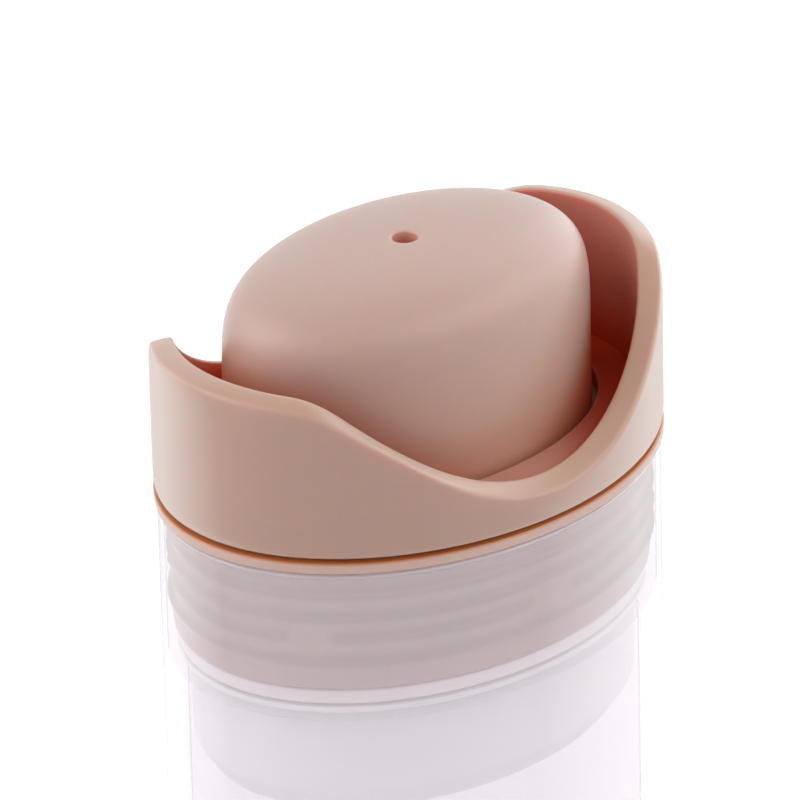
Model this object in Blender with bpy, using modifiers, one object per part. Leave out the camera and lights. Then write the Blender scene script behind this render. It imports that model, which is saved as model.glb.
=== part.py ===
"""Airless pump bottle: a frosted oval bottle, a collar with a wavy rim and a domed push button.

Units are metres and +Z is up. The origin is the middle of the underside, and the oval's long
axis lies along X. The seam is the collar's lower edge, and many heights are measured from it.
"""

import math

import bmesh
import bpy

# Clearances
GAP = 0.0003  # between pieces that touch or press on each other
SEAM_GAP = 0.00035  # the dark groove between the collar and the pump base
BUTTON_CLEARANCE = 0.0005  # round the button in the deck's opening
BEAD_RELIEF = 0.0001  # a snap groove is this much deeper than its bead is high

# Oval outline of the collar, which the bottle and all its rings run parallel to
OVAL_HALF_WIDTH = 0.0228
OVAL_HALF_DEPTH = 0.0176

# Bottle
BOTTLE_LENGTH = 0.0939
BOTTLE_INSET = 0.00027  # its outside lies this far inside the collar's
BOTTLE_WALL = 0.0020
NECK_WALL = 0.0010
BOTTLE_EDGE = 0.0003

# Base plug
BASE_THICKNESS = 0.0016
BASE_RING_HEIGHT = 0.0064
BASE_RING_WALL = 0.0013
BASE_EDGE = 0.0006
VENT_RADIUS = 0.0032  # lets air in under the follower, and a pen through to loosen it

# Pump base
FLANGE_THICKNESS = 0.00092
SKIRT_LENGTH = 0.01215  # from the seam down
SKIRT_WALL = 0.0012
RIDGE_HEIGHT = 0.00033
RIDGE_HALF_WIDTH = 0.00055
RIDGE_DEPTHS = (0.0036, 0.0056, 0.0075, 0.0096)  # of the ridges' middles below the seam
BROKEN_RIDGE = 2  # which of them runs in separate lengths
BROKEN_LENGTHS = 6
BREAK_SHARE = 0.16  # of each length, which is left out
WEB_CLEARANCE = 0.0026  # under the lip of the pressed button
WEB_THICKNESS = 0.0014
BOSS_WALL = 0.0011

# Snap beads: the base plug's, the collar's and the boss's
SNAP_HEIGHT = 0.00035
SNAP_HALF_WIDTH = 0.0005
BASE_SNAP_HEIGHT = 0.0055  # of its middle above the underside
COLLAR_SNAP_DEPTH = 0.0030  # of its middle below the seam

# Wave collar
COLLAR_WALL = 0.0020
COLLAR_EDGE = 0.00025
RIM_DIP = 0.0032  # height of the inner rim edge on the flat sides, above the seam
RIM_CREST = 0.0144  # and at the ends
CREST_START = 0.885  # cosine of the outline's angle where the flank would reach that height
CREST_SWELL = 0.0015  # the crest falls from the ends as if to lie this much lower on the flat sides
CREST_BLEND = 0.0014
RIM_LEAN = 0.0009  # how far the rim face falls outwards where the rim runs level
RIM_LEAN_ON_FLANK = 0.00015
RIM_MIDDLE_FALL = 0.4  # share of the fall that is reached halfway across the rim
RIM_EDGE = 0.00025
DECK_TOP = 0.0022
DECK_THICKNESS = 0.0012
DECK_FILLET = 0.0004
COLLAR_SKIRT_LENGTH = 0.0042
COLLAR_SKIRT_WALL = 0.0010

# Button
BUTTON_END_SPACE = 0.00365  # between the button and the collar's wall, at the ends
BUTTON_SIDE_SPACE = 0.0042  # and on the flat sides
BUTTON_HALF_WIDTH = OVAL_HALF_WIDTH - COLLAR_WALL - BUTTON_END_SPACE
BUTTON_HALF_DEPTH = OVAL_HALF_DEPTH - COLLAR_WALL - BUTTON_SIDE_SPACE
BUTTON_RISE = 0.0184  # of its top above the seam
BUTTON_WALL = 0.0016
BUTTON_TOP_POWER = 2.96  # how squarely the dome meets the side, across
BUTTON_SIDE_POWER = 8.75  # and upwards
LIP_HOLD = 0.00045  # how far the lip reaches under the deck
LIP_THICKNESS = 0.0012
OUTLET_RADIUS = 0.00105
OUTLET_EDGE = 0.00015
SOCKET_WALL = 0.0012
SOCKET_CLEARANCE = 0.0016  # between the pressed button's socket and the cylinder cap
RIB_THICKNESS = 0.0009
RIB_START = 0.0040
RIB_END = 0.0105
RIB_BITE = 0.0005  # how far a rib runs into the button's skin
PRESS_TRAVEL = 0.0035  # of the button

# Pump cylinder
CYLINDER_RADIUS = 0.0052  # of its bore
CYLINDER_WALL = 0.0011
CYLINDER_FLANGE_RADIUS = 0.0076
CYLINDER_FLANGE_THICKNESS = 0.0010
CYLINDER_FLOOR_THICKNESS = 0.0012
NOZZLE_RADIUS = 0.0030
INLET_RADIUS = 0.0009
INLET_MOUTH_RADIUS = 0.0015

# Gaskets
CAP_GASKET_THICKNESS = 0.0005
FOOT_GASKET_THICKNESS = 0.0006
NECK_GASKET_THICKNESS = 0.0005

# Cylinder cap
CAP_THICKNESS = 0.0011
CAP_TUBE_LENGTH = 0.0012

# Stem, rod and piston
STEM_RADIUS = 0.0028
STEM_WALL = 0.0007
STEM_TOP = 0.0090  # above the seam
STEM_CHANNEL_RADIUS = 0.0009
ROD_TOP = 0.0050  # above the seam
ROD_CHANNEL_RADIUS = 0.0007
ROD_HEAD_RADIUS = 0.0039
ROD_HEAD_THICKNESS = 0.0010
ROD_HEAD_CLEARANCE = 0.0009  # over the inlet cage when the button is pressed
ROD_PORT_RADIUS = 0.0005
SEAL_HEIGHT = 0.0034
SEAL_LIP_HEIGHT = 0.0009
SEAL_LIP_REACH = 0.0006
SEAL_SHUTTLE = 0.0008  # how far the seal slides on the rod
SEAL_CLEARANCE = 0.0015  # under the cap's tube, with the button up

# Inlet valve
BALL_RADIUS = 0.0013
BALL_LIFT = 0.0008
CAGE_CLEARANCE = 0.0004
CAGE_WALL = 0.0006
CAGE_FOOT_THICKNESS = 0.0008
CAGE_ROOF_THICKNESS = 0.0007
CAGE_HOLE_RADIUS = 0.0005
CAGE_PORT_WIDTH = 0.0012
CAGE_PORT_HEIGHT = 0.0014

# Return spring
SPRING_RADIUS = 0.0032  # to the middle of its wire
SPRING_WIRE = 0.0006
SPRING_TURNS = 5
SPRING_END_PITCH = 0.00075  # of its first and last turn

# Chamber plug
PLUG_FLANGE_THICKNESS = 0.0012
PLUG_WALL = 0.0012
PLUG_FLOOR_THICKNESS = 0.0018
PLUG_CHAMFER_WIDTH = 0.0016
PLUG_CHAMFER_HEIGHT = 0.0024
PLUG_SOCKET_WALL = 0.0012
PLUG_SOCKET_HEIGHT = 0.0025

# Follower piston
FOLLOWER_HEIGHT = 0.0110
FOLLOWER_LIP_HEIGHT = 0.0010
FOLLOWER_LIP_REACH = 0.0006
FOLLOWER_WALL = 0.0012
FOLLOWER_WEB_DROP = 0.0014  # of the web's top below the upper lip
FOLLOWER_WEB_THICKNESS = 0.0014
FOLLOWER_BOSS_RADIUS = 0.0040
FOLLOWER_BOSS_HEIGHT = 0.0030

# Faceting
VISIBLE_SIDES = 44
HIDDEN_SIDES = 36
ROUND_SIDES = 24
SPRING_POINTS_PER_TURN = 12
DOME_RINGS = 10
DRILL_SIDES = 12
BALL_SIDES = 16
BALL_RINGS = 10
SHARP_ANGLE = math.radians(35)
ROUND_SHARE = 1 - math.sqrt(0.5)  # of a rounded edge's radius, at the middle of its bend
MERGE = 0.00001

# Colours, roughness and transmission of the materials
TAN = ((0.50, 0.27, 0.18), 0.42, 0.0)
FROSTED = ((0.86, 0.85, 0.86), 0.35, 0.7)
NATURAL = ((0.82, 0.82, 0.80), 0.45, 0.3)
WHITE = ((0.80, 0.80, 0.79), 0.45, 0.0)
SOFT_WHITE = ((0.74, 0.75, 0.74), 0.60, 0.0)
STEEL = ((0.62, 0.62, 0.63), 0.28, 0.0)

# Heights worked out from the sizes above
BOTTLE_FOOT_Z = BASE_THICKNESS + GAP
BOTTLE_TOP_Z = BOTTLE_FOOT_Z + BOTTLE_LENGTH
SEAM_Z = BOTTLE_TOP_Z + GAP + FLANGE_THICKNESS + SEAM_GAP

BORE_INSET = BOTTLE_INSET + BOTTLE_WALL
NECK_INSET = BOTTLE_INSET + NECK_WALL
SKIRT_INSET = NECK_INSET + GAP + RIDGE_HEIGHT
SKIRT_INNER_INSET = SKIRT_INSET + SKIRT_WALL
COLLAR_SKIRT_INSET = SKIRT_INNER_INSET + GAP
LINER_INSET = BORE_INSET + GAP

DECK_TOP_Z = SEAM_Z + DECK_TOP
DECK_Z = DECK_TOP_Z - DECK_THICKNESS
LIP_TOP_Z = DECK_Z - GAP
LIP_Z = LIP_TOP_Z - LIP_THICKNESS
BUTTON_TOP_Z = SEAM_Z + BUTTON_RISE

WEB_TOP_Z = LIP_Z - PRESS_TRAVEL - WEB_CLEARANCE
FLANGE_SEAT_Z = WEB_TOP_Z + GAP
FLANGE_TOP_Z = FLANGE_SEAT_Z + CYLINDER_FLANGE_THICKNESS
CAP_GASKET_Z = FLANGE_TOP_Z + GAP
CAP_Z = CAP_GASKET_Z + CAP_GASKET_THICKNESS + GAP
CAP_TOP_Z = CAP_Z + CAP_THICKNESS
CAP_TUBE_Z = CAP_Z - CAP_TUBE_LENGTH
BOSS_INNER_RADIUS = CYLINDER_FLANGE_RADIUS + GAP
BOSS_SNAP_Z = CAP_TOP_Z + GAP + SNAP_HALF_WIDTH
BOSS_TOP_Z = BOSS_SNAP_Z + SNAP_HALF_WIDTH
SOCKET_Z = CAP_TOP_Z + PRESS_TRAVEL + SOCKET_CLEARANCE

SEAL_TOP_Z = CAP_TUBE_Z - SEAL_CLEARANCE
SEAL_Z = SEAL_TOP_Z - SEAL_HEIGHT
ROD_HEAD_TOP_Z = SEAL_Z - GAP
ROD_HEAD_Z = ROD_HEAD_TOP_Z - ROD_HEAD_THICKNESS
ROD_RADIUS = STEM_RADIUS - STEM_WALL - GAP
ROD_TOP_Z = SEAM_Z + ROD_TOP
STEM_Z = SEAL_TOP_Z + SEAL_SHUTTLE + GAP
STEM_TOP_Z = SEAM_Z + STEM_TOP
SOCKET_RADIUS = STEM_RADIUS + GAP

BALL_SEAT_HEIGHT = math.sqrt((BALL_RADIUS + GAP) ** 2 - INLET_RADIUS ** 2)  # of its centre over the floor
CAGE_TOP_Z = ROD_HEAD_Z - PRESS_TRAVEL - ROD_HEAD_CLEARANCE
CAGE_ROOF_Z = CAGE_TOP_Z - CAGE_ROOF_THICKNESS
BALL_Z = CAGE_ROOF_Z - GAP - BALL_LIFT - BALL_RADIUS
CYLINDER_FLOOR_Z = BALL_Z - BALL_SEAT_HEIGHT
CAGE_Z = CYLINDER_FLOOR_Z + GAP
CAGE_RADIUS = BALL_RADIUS + CAGE_CLEARANCE
SPRING_FOOT_Z = CAGE_Z + CAGE_FOOT_THICKNESS + GAP
SPRING_TOP_Z = ROD_HEAD_Z - GAP

CYLINDER_OUTER_RADIUS = CYLINDER_RADIUS + CYLINDER_WALL
CYLINDER_FOOT_Z = CYLINDER_FLOOR_Z - CYLINDER_FLOOR_THICKNESS
FOOT_GASKET_Z = CYLINDER_FOOT_Z - GAP - FOOT_GASKET_THICKNESS
PLUG_FLOOR_Z = FOOT_GASKET_Z - GAP
PLUG_BOTTOM_Z = PLUG_FLOOR_Z - PLUG_FLOOR_THICKNESS
PLUG_FLANGE_TOP_Z = SEAM_Z - SKIRT_LENGTH - GAP
PLUG_FLANGE_Z = PLUG_FLANGE_TOP_Z - PLUG_FLANGE_THICKNESS
NECK_GASKET_Z = PLUG_FLANGE_Z - GAP - NECK_GASKET_THICKNESS
NECK_STEP_Z = NECK_GASKET_Z - GAP
CLEAR_BORE_RADIUS = NOZZLE_RADIUS + GAP

FOLLOWER_Z = BASE_THICKNESS + BASE_RING_HEIGHT + GAP
FOLLOWER_TOP_Z = FOLLOWER_Z + FOLLOWER_HEIGHT
FOLLOWER_WEB_TOP_Z = FOLLOWER_TOP_Z - FOLLOWER_WEB_DROP
FOLLOWER_WEB_Z = FOLLOWER_WEB_TOP_Z - FOLLOWER_WEB_THICKNESS


def clear_scene():
    """Start from an empty scene with one collection for the parts and one for their tools."""
    for thing in list(bpy.data.objects):
        bpy.data.objects.remove(thing, do_unlink=True)
    made = []
    for name in ("airless_pump_bottle", "cutters"):
        group = bpy.data.collections.new(name)
        bpy.context.scene.collection.children.link(group)
        made.append(group)
    return made


def finish_material(name, look):
    """A Principled material with one colour, roughness and transmission."""
    colour, roughness, transmission = look
    material = bpy.data.materials.new(name)
    material.use_nodes = True
    shader = material.node_tree.nodes["Principled BSDF"]
    shader.inputs["Base Color"].default_value = (*colour, 1.0)
    shader.inputs["Roughness"].default_value = roughness
    shader.inputs["Transmission Weight"].default_value = transmission
    shader.inputs["Metallic"].default_value = 1.0 if look is STEEL else 0.0
    return material


def add_part(name, data, look, parent):
    """Link a part made of mesh or curve data, with its own material, under its body's empty."""
    part = bpy.data.objects.new(name, data)
    PARTS.objects.link(part)
    data.materials.append(finish_material(name + "_finish", look))
    part.parent = parent
    return part


def add_tool(name, data):
    """Link a cutter or a joining shape, which is a guide and not a part."""
    tool = bpy.data.objects.new(name, data)
    CUTTERS.objects.link(tool)
    tool.display_type = "WIRE"
    tool.hide_render = True
    return tool


def body_empty(name):
    """An empty on the central axis, which every sliding piece moves along."""
    empty = bpy.data.objects.new(name, None)
    PARTS.objects.link(empty)
    return empty


def value_at(rule, turn):
    """A size that is either fixed or a rule of the angle round the oval."""
    return rule(turn) if callable(rule) else rule


def oval(inset, z):
    """A ring parallel to the oval outline, inset towards the middle."""
    def at(turn):
        normal_x = math.cos(turn) * OVAL_HALF_DEPTH
        normal_y = math.sin(turn) * OVAL_HALF_WIDTH
        share = value_at(inset, turn) / math.hypot(normal_x, normal_y)
        x = OVAL_HALF_WIDTH * math.cos(turn) - share * normal_x
        y = OVAL_HALF_DEPTH * math.sin(turn) - share * normal_y
        return x, y, value_at(z, turn)
    return at


def ellipse(half_width, half_depth, z):
    """A level elliptical ring."""
    def at(turn):
        return half_width * math.cos(turn), half_depth * math.sin(turn), z
    return at


def circle(radius, z):
    """A level round ring."""
    return ellipse(radius, radius, z)


def loft(name, rings, sides, look, parent, capped=False):
    """A closed body through rings: a loop with a way through it, or a solid capped at both ends."""
    shape = bmesh.new()
    turns = [2 * math.pi * step / sides for step in range(sides)]
    loops = [[shape.verts.new(ring(turn)) for turn in turns] for ring in rings]
    following = loops[1:] if capped else loops[1:] + loops[:1]
    for near, far in zip(loops, following):
        for step in range(sides):
            after = (step + 1) % sides
            shape.faces.new((near[step], near[after], far[after], far[step]))
    if capped:
        shape.faces.new(loops[0])
        shape.faces.new(loops[-1])
    bmesh.ops.recalc_face_normals(shape, faces=shape.faces)
    mesh = bpy.data.meshes.new(name)
    shape.to_mesh(mesh)
    shape.free()
    mesh.shade_smooth()
    mesh.set_sharp_from_angle(angle=SHARP_ANGLE)
    return add_part(name, mesh, look, parent)


def turned(name, profile, look, parent, closed=True):
    """A round body: a profile of radius and height, down its outer side, spun about Z."""
    mesh = bpy.data.meshes.new(name)
    count = len(profile)
    edges = [(step, step + 1) for step in range(count - 1)]
    if closed:
        edges.append((count - 1, 0))
    mesh.from_pydata([(radius, 0.0, z) for radius, z in profile], edges, [])
    part = add_part(name, mesh, look, parent)
    spin = part.modifiers.new("spin", "SCREW")
    spin.steps = ROUND_SIDES
    spin.render_steps = ROUND_SIDES
    spin.use_merge_vertices = True
    spin.merge_threshold = MERGE
    return part


def bead(inset, middle_z, half_width, height):
    """Three rings of a ridge that stands out from an oval wall, from its top down."""
    return [oval(inset, middle_z + half_width),
            oval(lambda turn: inset - value_at(height, turn), middle_z),
            oval(inset, middle_z - half_width)]


def box_mesh(name, low, high):
    """A box between two corners."""
    shape = bmesh.new()
    bmesh.ops.create_cube(shape, size=1.0)
    size = [far - near for near, far in zip(low, high)]
    middle = [(near + far) / 2 for near, far in zip(low, high)]
    bmesh.ops.scale(shape, vec=size, verts=shape.verts)
    bmesh.ops.translate(shape, vec=middle, verts=shape.verts)
    mesh = bpy.data.meshes.new(name)
    shape.to_mesh(mesh)
    shape.free()
    return mesh


def join_or_cut(part, tool, operation):
    """Add or take away a tool's shape."""
    change = part.modifiers.new(tool.name, "BOOLEAN")
    change.operation = operation
    change.object = tool
    change.solver = "EXACT"


def smooth_min(first, second, blend):
    """The lower of two heights, rounded where they cross."""
    near = max(blend - abs(first - second), 0.0) / blend
    return min(first, second) - near * near * blend / 4


def rim_height(turn):
    """Height of the rim's inner edge: a parabola up from each flat side that rounds into the crest."""
    share = (math.cos(turn) / CREST_START) ** 2
    flank = RIM_DIP + (RIM_CREST - RIM_DIP) * share
    crest = RIM_CREST - CREST_SWELL * math.sin(turn) ** 2
    return SEAM_Z + smooth_min(flank, crest, CREST_BLEND)


def rim_fall(turn):
    """How far the rim's face falls outwards: most on the level stretches, little on the flanks."""
    climbed = (rim_height(turn) - SEAM_Z - RIM_DIP) / (RIM_CREST - RIM_DIP)
    level = 1 - math.sin(math.pi * min(max(climbed, 0.0), 1.0)) ** 2
    return RIM_LEAN_ON_FLANK + (RIM_LEAN - RIM_LEAN_ON_FLANK) * level


def rim_face(share, drop=0.0):
    """Height rule of a ring on the rim's face, a share of the way out from its inner edge."""
    return lambda turn: rim_height(turn) - rim_fall(turn) * share - drop


def make_bottle(parent):
    """The frosted bottle: an oval tube with a wider, thinner neck and a groove for the base plug."""
    groove = SNAP_HEIGHT + BEAD_RELIEF
    groove_half_width = SNAP_HALF_WIDTH + GAP
    rings = [
        oval(BOTTLE_INSET + BOTTLE_EDGE, BOTTLE_TOP_Z),
        oval(BOTTLE_INSET, BOTTLE_TOP_Z - BOTTLE_EDGE),
        oval(BOTTLE_INSET, BOTTLE_FOOT_Z + BOTTLE_EDGE),
        oval(BOTTLE_INSET + BOTTLE_EDGE, BOTTLE_FOOT_Z),
        oval(BORE_INSET, BOTTLE_FOOT_Z),
        oval(BORE_INSET, BASE_SNAP_HEIGHT - groove_half_width),
        oval(BORE_INSET - groove, BASE_SNAP_HEIGHT - GAP),
        oval(BORE_INSET - groove, BASE_SNAP_HEIGHT + GAP),
        oval(BORE_INSET, BASE_SNAP_HEIGHT + groove_half_width),
        oval(BORE_INSET, NECK_STEP_Z),
        oval(NECK_INSET, NECK_STEP_Z),
        oval(NECK_INSET, BOTTLE_TOP_Z),
    ]
    return loft("outer_bottle", rings, VISIBLE_SIDES, FROSTED, parent)


def make_base_plug(parent):
    """The bottom: a flat plate with a vent hole in its middle, and a ring that snaps into the bore."""
    ring_top = BASE_THICKNESS + BASE_RING_HEIGHT
    rings = [
        oval(BOTTLE_INSET, BASE_THICKNESS),
        oval(BOTTLE_INSET, BASE_EDGE),
        oval(BOTTLE_INSET + BASE_EDGE * ROUND_SHARE, BASE_EDGE * ROUND_SHARE),
        oval(BOTTLE_INSET + BASE_EDGE, 0.0),
        circle(VENT_RADIUS, 0.0),
        circle(VENT_RADIUS, BASE_THICKNESS),
        oval(LINER_INSET + BASE_RING_WALL, BASE_THICKNESS),
        oval(LINER_INSET + BASE_RING_WALL, ring_top),
        oval(LINER_INSET, ring_top),
        *bead(LINER_INSET, BASE_SNAP_HEIGHT, SNAP_HALF_WIDTH, SNAP_HEIGHT),
        oval(LINER_INSET, BASE_THICKNESS),
    ]
    return loft("base_plug", rings, VISIBLE_SIDES, WHITE, parent)


def broken_ridge(turn):
    """Height of the ridge that runs in lengths with short breaks between them."""
    place = (turn / (2 * math.pi) * BROKEN_LENGTHS + 0.5) % 1.0
    return RIDGE_HEIGHT if BREAK_SHARE / 2 < place < 1 - BREAK_SHARE / 2 else 0.0


def make_pump_base(parent):
    """The tan ring: a flange on the bottle, a ridged skirt in its neck, and a web with the boss."""
    flange_top = SEAM_Z - SEAM_GAP
    flange_bottom = flange_top - FLANGE_THICKNESS
    skirt_bottom = SEAM_Z - SKIRT_LENGTH
    web_bottom = WEB_TOP_Z - WEB_THICKNESS
    hole = CYLINDER_OUTER_RADIUS + GAP
    boss_outer = BOSS_INNER_RADIUS + BOSS_WALL
    groove = SNAP_HEIGHT + BEAD_RELIEF
    snap_z = SEAM_Z - COLLAR_SNAP_DEPTH
    ridges = []
    for number, depth in enumerate(RIDGE_DEPTHS):
        height = broken_ridge if number == BROKEN_RIDGE else RIDGE_HEIGHT
        ridges += bead(SKIRT_INSET, SEAM_Z - depth, RIDGE_HALF_WIDTH, height)
    rings = [
        oval(0.0, flange_top),
        oval(0.0, flange_bottom),
        oval(SKIRT_INSET, flange_bottom),
        *ridges,
        oval(SKIRT_INSET, skirt_bottom),
        oval(SKIRT_INNER_INSET, skirt_bottom),
        oval(SKIRT_INNER_INSET, web_bottom),
        circle(hole, web_bottom),
        circle(hole, WEB_TOP_Z),
        circle(BOSS_INNER_RADIUS, WEB_TOP_Z),
        circle(BOSS_INNER_RADIUS, BOSS_SNAP_Z - SNAP_HALF_WIDTH),
        circle(BOSS_INNER_RADIUS - SNAP_HEIGHT - GAP, BOSS_SNAP_Z),
        circle(BOSS_INNER_RADIUS, BOSS_TOP_Z),
        circle(boss_outer, BOSS_TOP_Z),
        circle(boss_outer, WEB_TOP_Z),
        oval(SKIRT_INNER_INSET, WEB_TOP_Z),
        oval(SKIRT_INNER_INSET, snap_z - SNAP_HALF_WIDTH - GAP),
        oval(SKIRT_INNER_INSET - groove, snap_z),
        oval(SKIRT_INNER_INSET, snap_z + SNAP_HALF_WIDTH + GAP),
        oval(SKIRT_INNER_INSET, flange_top),
    ]
    return loft("pump_base", rings, HIDDEN_SIDES, TAN, parent)


def make_wave_collar(parent):
    """The collar: a wall with the wavy rim, the deck with the button's opening, and a snap skirt."""
    opening = (BUTTON_HALF_WIDTH + BUTTON_CLEARANCE, BUTTON_HALF_DEPTH + BUTTON_CLEARANCE)
    skirt_inner = COLLAR_SKIRT_INSET + COLLAR_SKIRT_WALL
    skirt_bottom = SEAM_Z - COLLAR_SKIRT_LENGTH
    rings = [
        oval(COLLAR_WALL - RIM_EDGE, rim_face(0.0)),
        oval(COLLAR_WALL / 2, rim_face(RIM_MIDDLE_FALL)),
        oval(RIM_EDGE, rim_face(1.0)),
        oval(0.0, rim_face(1.0, RIM_EDGE)),
        oval(0.0, SEAM_Z + COLLAR_EDGE),
        oval(COLLAR_EDGE, SEAM_Z),
        oval(COLLAR_SKIRT_INSET, SEAM_Z),
        *bead(COLLAR_SKIRT_INSET, SEAM_Z - COLLAR_SNAP_DEPTH, SNAP_HALF_WIDTH, SNAP_HEIGHT),
        oval(COLLAR_SKIRT_INSET, skirt_bottom),
        oval(skirt_inner, skirt_bottom),
        oval(skirt_inner, DECK_Z),
        ellipse(*opening, DECK_Z),
        ellipse(*opening, DECK_TOP_Z - RIM_EDGE),
        ellipse(opening[0] + RIM_EDGE, opening[1] + RIM_EDGE, DECK_TOP_Z),
        oval(COLLAR_WALL + DECK_FILLET, DECK_TOP_Z),
        oval(COLLAR_WALL, DECK_TOP_Z + DECK_FILLET),
        oval(COLLAR_WALL, rim_face(0.0, RIM_EDGE)),
    ]
    return loft("wave_collar", rings, VISIBLE_SIDES, TAN, parent)


def dome_ring(half_width, half_depth, foot_z, top_z, share):
    """A ring of the button's skin, a share of the way from its side to the middle of its top."""
    angle = share * math.pi / 2
    across = math.cos(angle) ** (2 / BUTTON_TOP_POWER)
    up = math.sin(angle) ** (2 / BUTTON_SIDE_POWER)
    return ellipse(half_width * across, half_depth * across, foot_z + (top_z - foot_z) * up)


def make_button(parent):
    """The button: a thin domed shell with a lip, the outlet, and a ribbed socket for the stem."""
    outer = (BUTTON_HALF_WIDTH, BUTTON_HALF_DEPTH)
    inner = (BUTTON_HALF_WIDTH - BUTTON_WALL, BUTTON_HALF_DEPTH - BUTTON_WALL)
    lip = (BUTTON_HALF_WIDTH + BUTTON_CLEARANCE + LIP_HOLD, BUTTON_HALF_DEPTH + BUTTON_CLEARANCE + LIP_HOLD)
    inner_top = BUTTON_TOP_Z - BUTTON_WALL
    socket_outer = SOCKET_RADIUS + SOCKET_WALL
    shares = [step / DOME_RINGS for step in range(1, DOME_RINGS)]
    rings = [dome_ring(*outer, DECK_TOP_Z, BUTTON_TOP_Z, share) for share in reversed(shares)]
    rings += [
        ellipse(*outer, DECK_TOP_Z),
        ellipse(*outer, LIP_TOP_Z),
        ellipse(*lip, LIP_TOP_Z),
        ellipse(*lip, LIP_Z),
        ellipse(*inner, LIP_Z),
    ]
    rings += [dome_ring(*inner, LIP_Z, inner_top, share) for share in shares[1:-1:2]]
    rings += [
        circle(socket_outer, inner_top - OUTLET_EDGE),
        circle(socket_outer, SOCKET_Z),
        circle(SOCKET_RADIUS, SOCKET_Z),
        circle(SOCKET_RADIUS, STEM_TOP_Z + GAP),
        circle(OUTLET_RADIUS, STEM_TOP_Z + GAP),
        circle(OUTLET_RADIUS, BUTTON_TOP_Z - OUTLET_EDGE),
        circle(OUTLET_RADIUS + OUTLET_EDGE, BUTTON_TOP_Z),
    ]
    button = loft("actuator_button", rings, VISIBLE_SIDES, TAN, parent)
    start = SOCKET_RADIUS + SOCKET_WALL / 2
    half = RIB_THICKNESS / 2
    low_z, high_z = SEAM_Z + RIB_START, SEAM_Z + RIB_END
    for sign in (-1, 1):
        ends = sorted((sign * start, sign * (inner[0] + RIB_BITE)))
        rib = box_mesh("rib", (ends[0], -half, low_z), (ends[1], half, high_z))
        join_or_cut(button, add_tool("long_rib_%d" % (sign + 1), rib), "UNION")
        ends = sorted((sign * start, sign * (inner[1] + RIB_BITE)))
        rib = box_mesh("rib", (-half, ends[0], low_z), (half, ends[1], high_z))
        join_or_cut(button, add_tool("short_rib_%d" % (sign + 1), rib), "UNION")
    return button


def make_stem(parent):
    """The tube between the button's socket and the piston."""
    bore = STEM_RADIUS - STEM_WALL
    shoulder = ROD_TOP_Z + GAP
    return turned("stem", [
        (STEM_RADIUS - GAP, STEM_TOP_Z),
        (STEM_RADIUS, STEM_TOP_Z - GAP),
        (STEM_RADIUS, STEM_Z),
        (bore, STEM_Z),
        (bore, shoulder),
        (STEM_CHANNEL_RADIUS, shoulder),
        (STEM_CHANNEL_RADIUS, STEM_TOP_Z),
    ], WHITE, parent)


def make_piston_rod(parent):
    """The hollow rod with its poppet head and side ports, which the piston seal uncovers."""
    channel_bottom = ROD_HEAD_TOP_Z + GAP
    rod = turned("piston_rod", [
        (0.0, channel_bottom),
        (ROD_CHANNEL_RADIUS, channel_bottom),
        (ROD_CHANNEL_RADIUS, ROD_TOP_Z),
        (ROD_RADIUS, ROD_TOP_Z),
        (ROD_RADIUS, ROD_HEAD_TOP_Z),
        (ROD_HEAD_RADIUS, ROD_HEAD_TOP_Z),
        (ROD_HEAD_RADIUS, ROD_HEAD_Z),
        (0.0, ROD_HEAD_Z),
    ], WHITE, parent, closed=False)
    shape = bmesh.new()
    bmesh.ops.create_cone(shape, cap_ends=True, segments=DRILL_SIDES, radius1=ROD_PORT_RADIUS,
                          radius2=ROD_PORT_RADIUS, depth=2 * ROD_HEAD_RADIUS)
    mesh = bpy.data.meshes.new("port_drill")
    shape.to_mesh(mesh)
    shape.free()
    drill = add_tool("port_drill", mesh)
    drill.rotation_euler = (0.0, math.pi / 2, 0.0)
    drill.location = (0.0, 0.0, channel_bottom + ROD_PORT_RADIUS + GAP)
    join_or_cut(rod, drill, "DIFFERENCE")
    return rod


def make_piston_seal(parent):
    """The sliding piston: a sleeve round the rod with a thin lip at each end."""
    outer = CYLINDER_RADIUS - GAP
    waist = outer - SEAL_LIP_REACH
    inner = ROD_RADIUS + GAP
    return turned("piston_seal", [
        (outer, SEAL_TOP_Z),
        (outer, SEAL_TOP_Z - SEAL_LIP_HEIGHT / 2),
        (waist, SEAL_TOP_Z - SEAL_LIP_HEIGHT),
        (waist, SEAL_Z + SEAL_LIP_HEIGHT),
        (outer, SEAL_Z + SEAL_LIP_HEIGHT / 2),
        (outer, SEAL_Z),
        (inner, SEAL_Z),
        (inner, SEAL_TOP_Z - SEAL_LIP_HEIGHT),
        (inner + SEAL_LIP_REACH, SEAL_TOP_Z - SEAL_LIP_HEIGHT),
        (waist, SEAL_TOP_Z),
    ], SOFT_WHITE, parent)


def make_cylinder(parent):
    """The pump barrel with its flange, floor and inlet nozzle."""
    nozzle_bottom = PLUG_BOTTOM_Z + GAP
    return turned("pump_cylinder", [
        (CYLINDER_FLANGE_RADIUS, FLANGE_TOP_Z),
        (CYLINDER_FLANGE_RADIUS, FLANGE_SEAT_Z),
        (CYLINDER_OUTER_RADIUS, FLANGE_SEAT_Z),
        (CYLINDER_OUTER_RADIUS, CYLINDER_FOOT_Z),
        (NOZZLE_RADIUS, CYLINDER_FOOT_Z),
        (NOZZLE_RADIUS, nozzle_bottom),
        (INLET_MOUTH_RADIUS, nozzle_bottom),
        (INLET_RADIUS, CYLINDER_FOOT_Z),
        (INLET_RADIUS, CYLINDER_FLOOR_Z),
        (CYLINDER_RADIUS, CYLINDER_FLOOR_Z),
        (CYLINDER_RADIUS, FLANGE_TOP_Z),
    ], NATURAL, parent)


def make_ring(name, inner, outer, z, thickness, look, parent):
    """A flat round gasket."""
    top = z + thickness
    return turned(name, [(outer, top), (outer, z), (inner, z), (inner, top)], look, parent)


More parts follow.
